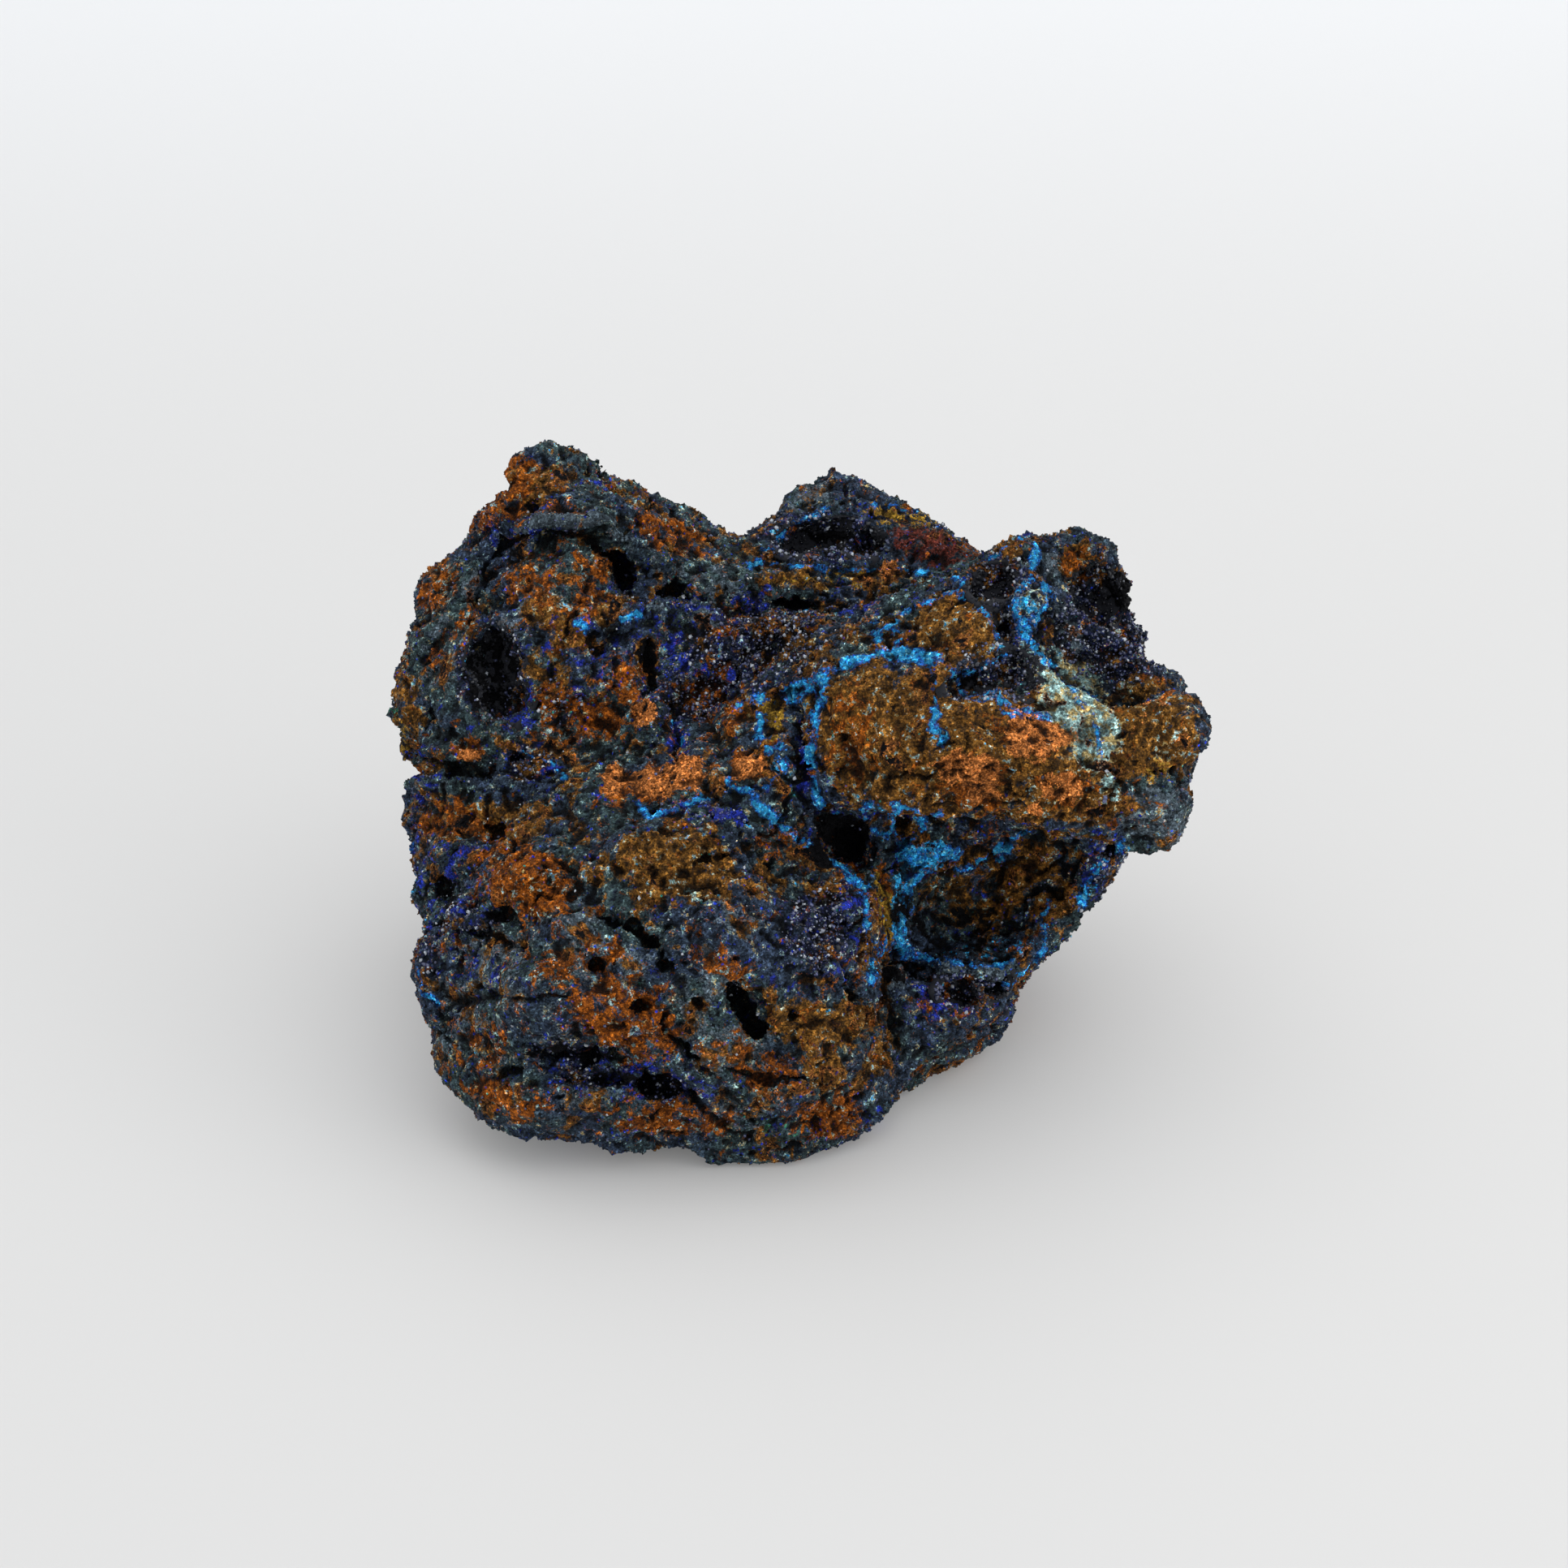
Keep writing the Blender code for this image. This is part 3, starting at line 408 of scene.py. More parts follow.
# Rims of blue copper carbonate.
RIMS = lines(
    (4.2, 0.25, 935, 868, 960, 850, 985, 845, 1015, 825, 1060, 812, 1095, 800, 1110, 806),
    (4.6, 0.3, 1015, 826, 1008, 860, 1003, 890, 997, 910, 1000, 960, 1008, 985, 1030, 1003),
    (5.1, 0.2, 1000, 838, 985, 862, 965, 862, 940, 855, 925, 860, 905, 872),
    (5.1, 0.25, 1078, 770, 1088, 775, 1082, 800, 1094, 812, 1110, 800, 1104, 780, 1090, 770),
    (4.2, 0.3, 1090, 770, 1120, 752, 1165, 735, 1180, 725, 1215, 755, 1238, 790, 1236, 808),
    (4.2, 0.3, 1236, 808, 1205, 825, 1185, 830, 1160, 812, 1140, 800, 1110, 800),
    (6.8, 0.2, 1110, 806, 1128, 812, 1140, 806),
    (5.4, 0.3, 1175, 830, 1190, 855, 1215, 857, 1228, 850, 1240, 870, 1265, 876, 1290, 885),
    (5.1, 0.15, 1140, 805, 1148, 825, 1145, 845, 1152, 870, 1150, 900),
    (3.4, 0.2, 1262, 660, 1248, 668, 1235, 675, 1220, 690, 1200, 710, 1182, 722),
    (4.2, 0.3, 1279, 662, 1275, 690, 1272, 712, 1256, 728, 1250, 748, 1262, 765),
    (5.1, 0.35, 1284, 715, 1294, 735, 1285, 758, 1264, 768, 1262, 785, 1280, 804, 1300, 820),
    (3.0, 0.2, 1281, 808, 1298, 824, 1321, 852, 1340, 880, 1354, 909, 1360, 937),
    (4.2, 0.25, 890, 960, 908, 974, 925, 975, 945, 968, 958, 952, 965, 930, 962, 915),
    (4.2, 0.2, 925, 860, 930, 878, 938, 890, 935, 912, 948, 928),
    (5.5, 0.35, 930, 990, 952, 1008, 969, 1025, 1003, 1050, 1037, 1064, 1062, 1090, 1070, 1112),
    (5.1, 0.3, 1070, 1112, 1067, 1146, 1070, 1174, 1079, 1196, 1072, 1208),
    (4.2, 0.3, 785, 990, 800, 1003, 825, 1000, 848, 990, 870, 980, 900, 975),
    (3.0, 0.1, 826, 892, 836, 900, 840, 915, 835, 928, 826, 937),
    (3.9, 0.25, 1061, 1000, 1072, 990, 1096, 988, 1122, 996, 1135, 1008, 1160, 1004),
    (3.9, 0.25, 1061, 1000, 1070, 1020, 1090, 1032, 1100, 1024, 1096, 1008, 1110, 998),
    (4.2, 0.25, 1100, 1024, 1112, 1038, 1128, 1030, 1138, 1018, 1132, 1006),
    (7.6, 0.2, 1112, 1038, 1120, 1052, 1140, 1046, 1155, 1052, 1176, 1056),
    (6.0, 0.25, 1128, 1060, 1140, 1072, 1122, 1088, 1118, 1112, 1112, 1140, 1108, 1165),
    (2.5, 0.1, 1072, 1075, 1070, 1092, 1082, 1112, 1092, 1140, 1096, 1165, 1082, 1176),
    (6.0, 0.2, 1080, 1170, 1098, 1174, 1118, 1170),
    (3.0, 0.15, 1229, 1064, 1246, 1044, 1265, 1018),
    (3.0, 0.2, 1160, 1062, 1182, 1073, 1200, 1064, 1221, 1054, 1250, 1034, 1275, 1020),
    (3.0, 0.2, 1106, 1180, 1128, 1180, 1148, 1183, 1175, 1188, 1204, 1191, 1235, 1188, 1260, 1177),
    (3.4, 0.2, 1240, 1210, 1258, 1200, 1275, 1190, 1285, 1170, 1288, 1140, 1290, 1110),
    (3.9, 0.2, 1330, 1120, 1340, 1090, 1360, 1064, 1380, 1040),
    (2.5, 0.15, 1240, 1212, 1252, 1208, 1264, 1214, 1258, 1224, 1244, 1222),
    (3.4, 0.25, 621, 914, 640, 922, 665, 930, 690, 950, 700, 962),
    (3.0, 0.1, 925, 690, 960, 696, 1000, 700, 1045, 702, 1090, 702, 1140, 706, 1180, 712),
    (3.4, 0.2, 935, 690, 952, 670, 970, 655, 995, 642, 1020, 630),
    (4.2, 0.1, 925, 694, 940, 688, 936, 676),
    (3.0, 0.1, 1070, 626, 1100, 622, 1130, 632),
    (4.2, 0.1, 700, 772, 712, 768, 720, 776),
    (4.2, 0.1, 752, 756, 770, 762, 788, 758),
    (3.4, 0.1, 1146, 892, 1160, 905, 1156, 922),
    (2.5, 0.0, 690, 1290, 705, 1296),
    (3.4, 0.1, 506, 1040, 500, 1060, 508, 1080),
    (3.4, 0.1, 512, 1195, 520, 1215, 535, 1235),
    (2.5, 0.1, 1390, 715, 1396, 745),
)

# Ridges, cracks and grooves.
RIDGES = lines(
    (7.5, 0.8, 520, 800, 540, 772, 560, 755, 575, 722, 590, 690, 612, 660, 665, 645, 740, 637),
    (7.5, 1.1, 740, 637, 755, 650, 780, 677, 810, 690),
    (7.5, 1.0, 739, 782, 773, 763, 807, 752, 857, 752, 885, 768),
    (7.5, 0.7, 501, 970, 540, 962, 590, 968, 630, 962, 666, 976),
    (6.0, 0.6, 1154, 1188, 1185, 1196, 1213, 1200, 1249, 1186),
    (9.0, -1.3, 590, 740, 598, 690, 625, 662, 680, 660, 722, 660, 750, 680, 775, 712),
    (4.5, -1.6, 739, 1124, 765, 1138, 793, 1150, 812, 1172, 818, 1192),
    (4.5, -1.3, 818, 1259, 826, 1280, 840, 1292, 849, 1307),
    (4.5, -1.1, 860, 1310, 868, 1318, 880, 1324),
    (6.0, -1.8, 1053, 1207, 1062, 1235, 1078, 1262, 1088, 1290, 1093, 1308),
    (9.0, -2.2, 1101, 1183, 1125, 1190, 1148, 1202, 1154, 1211),
    (8.0, -2.4, 905, 1219, 915, 1238, 925, 1252, 938, 1269),
    (8.0, -2.0, 821, 732, 840, 726, 860, 741),
    (7.0, -1.2, 650, 1292, 690, 1300, 740, 1300, 779, 1304),
    (9.0, -1.6, 690, 1322, 740, 1330, 800, 1338),
    (9.0, -2.0, 795, 1332, 820, 1340, 846, 1350),
    (7.0, -1.4, 803, 791, 800, 815, 808, 844),
    (5.0, -1.2, 829, 895, 834, 912, 829, 934),
    (6.0, -0.8, 504, 930, 540, 938, 580, 952, 600, 950),
    (4.0, -0.6, 1108, 1066, 1084, 1080, 1094, 1100, 1100, 1120),
    (7.0, -0.7, 870, 880, 880, 900, 885, 930),
    (8.0, -1.2, 980, 870, 985, 900, 980, 930, 990, 960),
    (9.0, 0.5, 1292, 690, 1300, 720, 1310, 760, 1330, 800),
    (7.0, -0.6, 560, 1236, 600, 1226, 650, 1232, 700, 1226),
    (7.0, -0.9, 540, 1130, 575, 1150, 612, 1150, 640, 1168),
    (6.0, -0.6, 900, 1320, 940, 1332, 990, 1330, 1040, 1345),
)

# Ovals: x and y in marks, half width, half height, and depth or height in millimetres.
PITS: Rows = (
    (767, 700, 17, 23, 1.8), (655, 626, 11, 15, 1.4), (733, 797, 16, 14, 1.3), (528, 887, 9, 20, 1.2),
    (612, 1026, 21, 14, 1.2), (547, 1102, 21, 22, 1.5), (615, 1128, 22, 13, 1.3), (734, 1188, 14, 12, 1.7),
    (790, 1240, 17, 12, 1.8), (900, 1052, 11, 11, 1.2), (950, 1064, 13, 9, 1.2), (806, 998, 12, 6, 1.5),
    (635, 932, 14, 9, 1.6), (1095, 793, 8, 10, 1.2), (1367, 1046, 9, 11, 1.5), (1110, 1010, 9, 8, 0.9),
    (1115, 1036, 7, 6, 0.8), (1427, 950, 12, 9, 0.9), (870, 1060, 12, 8, 0.9), (905, 1182, 8, 6, 0.8),
    (720, 1060, 10, 8, 0.9), (665, 1100, 9, 7, 0.8), (590, 1215, 9, 7, 0.9), (980, 1250, 10, 7, 0.9),
    (860, 1235, 12, 8, 1.3), (1010, 1310, 10, 8, 0.9), (1150, 945, 8, 7, 0.6), (1040, 905, 8, 8, 0.5),
    (1060, 1130, 10, 10, 0.8), (690, 1350, 12, 8, 0.9), (1200, 1150, 14, 10, 1.0),
    (1150, 1110, 12, 10, 0.9), (1235, 1080, 12, 9, 0.8), (980, 745, 34, 11, 2.0), (1250, 1140, 10, 12, 0.9),
    (1190, 1040, 16, 7, 0.8), (1238, 1280, 60, 26, 1.2), (750, 575, 46, 26, 1.2), (1190, 1330, 40, 26, 0.9),
    (905, 665, 12, 8, 0.7), (1340, 940, 9, 7, 0.6), (1450, 905, 7, 6, 0.6), (1380, 905, 8, 6, 0.5),
)
LUMPS: Rows = (
    (670, 735, 72, 56, 1.0), (801, 892, 21, 29, 1.3), (557, 931, 52, 24, 1.0), (568, 1054, 40, 26, 1.0),
    (1102, 1210, 18, 27, 1.3), (1186, 780, 44, 36, 1.0), (1050, 786, 13, 12, 0.9), (830, 1050, 60, 34, 0.8),
    (950, 845, 60, 20, 0.6), (1270, 742, 24, 18, 0.9), (770, 1240, 50, 30, 0.5), (1145, 672, 40, 20, 0.6),
    (806, 966, 24, 18, 0.5), (846, 955, 18, 16, 0.5), (920, 945, 18, 12, 0.6), (650, 1085, 40, 30, 0.6),
    (1470, 885, 46, 66, 1.6), (1408, 775, 34, 50, 1.7), (1450, 835, 30, 30, 0.9), (606, 640, 30, 40, 1.5),
)
# Ovals where the skin is smoother: x, y, half width and half height in marks.
CALM: Rows = (
    (1076, 890, 66, 86), (1215, 880, 60, 34), (1340, 880, 60, 76), (806, 964, 34, 28), (848, 952, 28, 24),
    (1425, 900, 50, 50), (640, 1225, 90, 56), (760, 1210, 90, 44), (700, 1372, 120, 26),
    (1430, 1000, 50, 40), (690, 650, 60, 16), (560, 800, 30, 60), (1186, 780, 52, 42), (1102, 1210, 20, 28),
    (1092, 1110, 26, 60), (580, 930, 26, 20), (918, 945, 28, 16), (905, 1180, 60, 36), (1138, 1052, 34, 20),
)

# How much painted shade darkens a crust's crystals beyond those of the others.
CRUST_PAINTED_SHADE = {"left_vug_druse": 0.75}


@dataclass
class RockFields:
    """What the display sheet says of each point of the skin.

    Attributes:
        points: The skin's corners in millimetres.
        across_to_deep: How much an offset in depth counts beside one across the sheet.
        wobbled: The points' marks and depths, strayed so that outlines are ragged.
        swell: How much wider than drawn a line is at each point.
        shown: One on the skin that the display side shows, falling to nought behind it.
        chart: The depths of the skin.
    """

    points: Array
    across_to_deep: float = 0.28
    wobbled: Array = field(init=False)
    swell: Array = field(init=False)
    shown: Array = field(init=False)
    chart: DepthChart = field(init=False)

    def __post_init__(self) -> None:
        """Places the points on the display sheet and finds which are shown."""
        points = self.points
        placed = SHEET.onto(points)
        self.wobbled = placed.copy()
        for axis, seed in enumerate((81, 82)):
            broad = 3.5 * wavy(points, 5.0, seed) + 4.0 * wavy(points, 2.4, seed + 5)
            self.wobbled[:, axis] += broad + 3.0 * wavy(points, 1.1, seed + 9)
        self.swell = np.clip(1.0 + 0.6 * wavy(points, 2.7, 90), 0.55, 1.4)
        self.chart = DepthChart(placed)
        self.shown = 1.0 - rise(self.chart.behind(), 1.2, 4.5)

    def oval(self, x: float, y: float, width: float, height: float, turn: float = 0.0) -> Array:
        """One less the distance from an oval's middle in shares of its radii.

        Args:
            x: The middle's x mark.
            y: The middle's y mark.
            width: The half width in marks.
            height: The half height in marks.
            turn: How far it is turned, clockwise in degrees.

        Returns:
            One at the middle, nought on the outline and less outside it.
        """
        right, down = self.wobbled[:, 0] - x, self.wobbled[:, 1] - y
        sine, cosine = math.sin(math.radians(turn)), math.cos(math.radians(turn))
        along = (right * cosine + down * sine) / width
        athwart = (down * cosine - right * sine) / height
        return 1.0 - np.hypot(along, athwart)

    def stepped(self, path: Array, step: float = 3.0) -> tuple[Array, Array]:
        """Walks along a path.

        Args:
            path: Its corners in marks.
            step: The length of a step in marks.

        Returns:
            A mark for each step, and the depth of the skin under it.
        """
        reach = np.concatenate(([0.0], np.cumsum(np.hypot(*np.diff(path, axis=0).T))))
        steps = np.arange(0.0, reach[-1] + 1.0, step)
        marks = np.column_stack([np.interp(steps, reach, path[:, k]) for k in (0, 1)])
        return marks, self.chart.at(marks)

    def line_distance(self, line: Line) -> Array:
        """The distance from a line in shares of its half width.

        Each step of the line is a point on the skin; the distance is the least over the steps of
        the root of the squares of the two mark offsets and of the depth offset, which counts less.

        Args:
            line: The line.

        Returns:
            Nought on the line, one at its edge, and no more than is followed.
        """
        marks, depths = self.stepped(line.path)
        far = FAR * line.width
        result = np.full(len(self.points), FAR)
        low, high = marks.min(axis=0) - far, marks.max(axis=0) + far
        flat = self.chart.placed[:, :2]
        near = np.flatnonzero(((flat > low) & (flat < high)).all(axis=1))
        if not len(near):
            return result
        spots = self.wobbled[near]
        deep_scale = self.across_to_deep / SHEET.marks_to_mm
        least = np.full(len(near), np.inf)
        for mark, depth in zip(marks, depths):
            apart = (spots[:, 0] - mark[0]) ** 2 + (spots[:, 1] - mark[1]) ** 2
            least = np.minimum(least, apart + ((spots[:, 2] - depth) * deep_scale) ** 2)
        result[near] = np.minimum(np.sqrt(least) / (line.width * self.swell[near]), FAR)
        return result


# ---------------------------------------------------------------- surfaces and meshes


@dataclass
class Surface:
    """A surface of triangles.

    Attributes:
        points: Its corners in millimetres, one row each.
        triangles: Rows of three corner numbers.
    """

    points: Array
    triangles: Array

    @classmethod
    def of_mesh(cls, mesh: bpy.types.Mesh) -> "Surface":
        """Reads a mesh.

        Args:
            mesh: A mesh in metres.

        Returns:
            Its corners and triangles, in millimetres.
        """
        mesh.calc_loop_triangles()
        points = np.empty(len(mesh.vertices) * 3)
        mesh.vertices.foreach_get("co", points)
        corners = np.empty(len(mesh.loop_triangles) * 3, np.int32)
        mesh.loop_triangles.foreach_get("vertices", corners)
        return cls(points.reshape(-1, 3) / MM, corners.reshape(-1, 3))

    @classmethod
    def of_node(cls, name: str) -> "Surface":
        """Reads a node's solid, merges corners on the same spot and drops flattened triangles.

        Args:
            name: The node's name.

        Returns:
            The solid's surface.
        """
        raw = cls.of_mesh(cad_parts[name].data)
        spots = np.round(raw.points, 4)
        _, first, number = np.unique(spots, axis=0, return_index=True, return_inverse=True)
        a, b, c = number.reshape(-1)[raw.triangles].T
        kept = (a != b) & (b != c) & (c != a)
        return cls(raw.points[first], np.column_stack((a, b, c))[kept])

    def ends(self) -> list[Array]:
        """The first, second and third corners of the triangles."""
        return [self.points[self.triangles[:, k]] for k in range(3)]

    def samples(self) -> Array:
        """The corners, side middles and middles of the triangles, as points on the surface."""
        a, b, c = self.ends()
        return np.vstack((self.points, (a + b) / 2, (b + c) / 2, (c + a) / 2, (a + b + c) / 3))

    def areas(self) -> Array:
        """Twice the area of each triangle: the length of the cross product of two sides."""
        return np.linalg.norm(self.flats(), axis=1)

    def flats(self) -> Array:
        """The cross product of two sides of each triangle."""
        a, b, c = self.ends()
        return np.cross(b - a, c - a)

    def normals(self) -> Array:
        """Unit normals at the corners: the sum of the cross products of the triangles around each."""
        flats = self.flats()
        total = np.zeros_like(self.points)
        for k in range(3):
            np.add.at(total, self.triangles[:, k], flats)
        return total / np.maximum(np.linalg.norm(total, axis=1, keepdims=True), 1e-9)

    def neighbour_mean(self) -> Array:
        """The mean of each corner's neighbours along the triangles' sides."""
        total = np.zeros_like(self.points)
        count = np.zeros(len(self.points))
        for here, there in ((0, 1), (1, 2), (2, 0), (1, 0), (2, 1), (0, 2)):
            np.add.at(total, self.triangles[:, here], self.points[self.triangles[:, there]])
            np.add.at(count, self.triangles[:, here], 1.0)
        return total / np.maximum(count, 1.0)[:, None]

    def largest(self) -> "Surface":
        """The connected part with the most corners, so no sealed pocket is left inside.

        Every corner takes the least label along its triangles, with the labels' labels followed
        after each round, until nothing changes.

        Returns:
            That part.
        """
        label = np.arange(len(self.points))
        while True:
            least = label[self.triangles].min(axis=1)
            changed = label.copy()
            for k in range(3):
                np.minimum.at(changed, self.triangles[:, k], least)
            changed = changed[changed]
            if (changed == label).all():
                break
            label = changed
        kept = label == np.bincount(label).argmax()
        number = np.cumsum(kept) - 1
        return Surface(self.points[kept], number[self.triangles[kept[self.triangles].all(axis=1)]])

    def lifted(self, height: Array) -> "Surface":
        """The surface with each corner moved along its normal by a height."""
        return Surface(self.points + self.normals() * height[:, None], self.triangles)

    def settle(self) -> "Surface":
        """Keeps every corner at or over the floor."""
        self.points[:, 2] = np.maximum(self.points[:, 2], 0.0)
        return self

    def modified(self, kind: str, **settings: "str | float") -> "Surface":
        """Passes the surface through one modifier.

        Args:
            kind: The modifier's kind.
            **settings: Its settings.

        Returns:
            The surface that comes out.
        """
        source = in_scene("unfinished", mesh_of("unfinished", self.points, self.triangles))
        modifier = source.modifiers.new(kind, kind)
        for name, value in settings.items():
            setattr(modifier, name, value)
        done = source.evaluated_get(bpy.context.evaluated_depsgraph_get())
        result = Surface.of_mesh(done.to_mesh())
        done.to_mesh_clear()
        old = source.data
        bpy.data.objects.remove(source)
        bpy.data.meshes.remove(old)
        return result


def gap(points: Array, others: Array) -> Array:
    """How far each point lies from the nearest of the others."""
    return np.linalg.norm(points[:, None] - others[None], axis=2).min(axis=1)


def mesh_of(name: str, points: Array, faces: Array) -> bpy.types.Mesh:
    """Makes a mesh from whole arrays.

    Args:
        name: The mesh's name.
        points: Corners in millimetres.
        faces: Rows of as many corner numbers as each face has corners.

    Returns:
        The new mesh, in metres.
    """
    mesh = bpy.data.meshes.new(name)
    mesh.vertices.add(len(points))
    mesh.vertices.foreach_set("co", (points * MM).astype(np.float32).ravel())
    mesh.loops.add(faces.size)
    mesh.loops.foreach_set("vertex_index", faces.astype(np.int32).ravel())
    mesh.polygons.add(len(faces))
    mesh.polygons.foreach_set("loop_start", np.arange(0, faces.size, faces.shape[1], dtype=np.int32))
    mesh.update(calc_edges=True)
    mesh.validate()
    return mesh


def add_field(mesh: bpy.types.Mesh, name: str, values: Array) -> None:
    """Keeps one number for each corner of a mesh under `name`."""
    layer = mesh.attributes.new(name, "FLOAT", "POINT")
    layer.data.foreach_set("value", values.astype(np.float32))


def in_scene(name: str, data: bpy.types.ID) -> bpy.types.Object:
    """Sets a mesh, light or camera in the scene as an object."""
    item = bpy.data.objects.new(name, data)
    bpy.context.scene.collection.objects.link(item)
    return item


def piece(name: str, mesh: bpy.types.Mesh, finish: bpy.types.Material) -> bpy.types.Object:
    """Shows a mesh as a piece of the specimen.

    Args:
        name: The piece's name.
        mesh: Its mesh, already in place.
        finish: Its material.

    Returns:
        The piece, riding on the specimen's body.
    """
    shown = in_scene(name, mesh)
    mesh.materials.append(finish)
    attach(shown, BODY)
    LOG.info("%s: %d faces", name, len(mesh.polygons))
    return shown


# ---------------------------------------------------------------- finishes


class NodeBench:
    """Sets shader nodes into one material, with places measured in millimetres."""

    def __init__(self, name: str) -> None:
        """Starts a material with an output and a principled shader.

        Args:
            name: The material's name.
        """
        self.material = bpy.data.materials.new(name)
        self.material.use_nodes = True
        self.tree = self.material.node_tree
        self.tree.nodes.clear()
        self.shader = self.node("BsdfPrincipled")
        self.join(self.shader.outputs["BSDF"], self.node("OutputMaterial").inputs["Surface"])
        scale = self.node("VectorMath", operation="SCALE")
        scale.inputs["Scale"].default_value = 1.0 / MM
        self.join(self.node("TexCoord").outputs["Object"], scale.inputs[0])
        self.places = scale.outputs[0]

    def node(self, kind: str, **settings: str) -> bpy.types.Node:
        """A new node of a kind, with its settings."""
        made = self.tree.nodes.new(f"ShaderNode{kind}")
        for name, value in settings.items():
            setattr(made, name, value)
        return made

    def join(self, source: Socket, target: Socket) -> None:
        """Links one socket to another."""
        self.tree.links.new(source, target)

    def feed(self, socket: Socket, value: "Socket | float | Colour") -> None:
        """Gives a socket its value.

        Args:
            socket: The socket.
            value: A socket to link it to, a number or a colour.
        """
        if isinstance(value, bpy.types.NodeSocket):
            self.join(value, socket)
        elif isinstance(value, tuple) and len(value) == 3 and socket.type == "RGBA":
            socket.default_value = (*value, 1.0)
        else:
            socket.default_value = value

    def noise(
        self, size: float, detail: float = 3.0, rough: float = 0.6, lift: float = 0.0, bent: float = 0.0
    ) -> Socket:
        """Noise over the places.

        Args:
            size: The length of its waves in millimetres.
            detail: How many finer layers it has.
            rough: How strong those are.
            lift: Which pattern.
            bent: How far it is bent.

        Returns:
            The noise, about nought to one.
        """
        shift = self.node("VectorMath", operation="ADD")
        shift.inputs[1].default_value = (lift, lift * 1.7, lift * 0.6)
        self.join(self.places, shift.inputs[0])
        node = self.node("TexNoise")
        self.join(shift.outputs[0], node.inputs["Vector"])
        numbers = {"Distortion": bent, "Scale": 1.0 / size, "Detail": detail, "Roughness": rough}
        for name, number in numbers.items():
            node.inputs[name].default_value = number
        return node.outputs[0]

    def cells(self, size: float) -> bpy.types.Node:
        """A pattern of cells.

        Args:
            size: Their width in millimetres.

        Returns:
            The node, whose colour marks each cell.
        """
        node = self.node("TexVoronoi")
        node.inputs["Scale"].default_value = 1.0 / size
        self.join(self.places, node.inputs["Vector"])
        return node

    def field(self, name: str) -> Socket:
        """A number kept on the mesh."""
        return self.node("Attribute", attribute_type="GEOMETRY", attribute_name=name).outputs["Fac"]

    def sum(self, operation: str, *values: "Socket | float") -> Socket:
        """Works out one sum.

        Args:
            operation: Such as ADD, SUBTRACT, MULTIPLY or MAXIMUM.
            *values: What it is worked out from.

        Returns:
            The result.
        """
        node = self.node("Math", operation=operation)
        for socket, value in zip(node.inputs, values):
            self.feed(socket, value)
        return node.outputs[0]

    def product(self, first: Socket, *others: "Socket | float") -> Socket:
        """Multiplies numbers one after another.

        Args:
            first: The first number.
            *others: The rest.

        Returns:
            The product.
        """
        for other in others:
            first = self.sum("MULTIPLY", first, other)
        return first

    def ramp(self, value: Socket, low: float, high: float, start: float = 0.0, end: float = 1.0) -> Socket:
        """Eases a value smoothly, and holds it beyond both ends.

        Args:
            value: The value.
            low: Where the result is `start`.
            high: Where the result is `end`.
            start: The result at and before `low`.
            end: The result at and after `high`.

        Returns:
            The result.
        """
        node = self.node("MapRange", interpolation_type="SMOOTHSTEP")
        self.feed(node.inputs["Value"], value)
        for name, number in (("From Min", low), ("From Max", high), ("To Min", start), ("To Max", end)):
            node.inputs[name].default_value = number
        return node.outputs["Result"]

    def mix(
        self, share: "Socket | float", first: "Socket | Colour", second: "Socket | Colour", blend: str = "MIX"
    ) -> Socket:
        """Mixes two colours.

        Args:
            share: The second colour's share.
            first: The first colour.
            second: The second colour.
            blend: How the second is laid on the first.

        Returns:
            The mixed colour.
        """
        node = self.node("Mix", data_type="RGBA", blend_type=blend)
        self.feed(node.inputs["Factor"], share)
        self.feed(node.inputs[6], first)
        self.feed(node.inputs[7], second)
        return node.outputs[2]

    def bands(self, value: Socket, stops: tuple[tuple[float, Colour], ...]) -> Socket:
        """Reads a colour from stops.

        Args:
            value: Where to read, from nought to one.
            stops: The place and colour of each stop.

        Returns:
            The colour.
        """
        node = self.node("ValToRGB")
        elements = node.color_ramp.elements
        while len(elements) < len(stops):
            elements.new(0.5)
        for element, (place, colour) in zip(elements, stops):
            element.position = place
            element.color = (*colour, 1.0)
        self.feed(node.inputs["Fac"], value)
        return node.outputs["Color"]

    def grey(self, value: Socket) -> Socket:
        """A number as a grey that may be brighter than white."""
        node = self.node("CombineColor")
        for socket in node.inputs:
            self.feed(socket, value)
        return node.outputs[0]

    def relief(self, height: Socket, depth: float, under: "Socket | None" = None) -> Socket:
        """Bumps the normal.

        Args:
            height: The height, from nought to one.
            depth: What one stands for, in millimetres.
            under: Another relief that this one lies on.

        Returns:
            The normal.
        """
        node = self.node("Bump")
        node.inputs["Distance"].default_value = depth * MM
        self.join(height, node.inputs["Height"])
        if under is not None:
            self.join(under, node.inputs["Normal"])
        return node.outputs["Normal"]

    def finished(self, inputs: "dict[str, Socket | float | Colour]") -> bpy.types.Material:
        """The material, once the shader's inputs have what they are given."""
        for name, value in inputs.items():
            self.feed(self.shader.inputs[name], value)
        return self.material


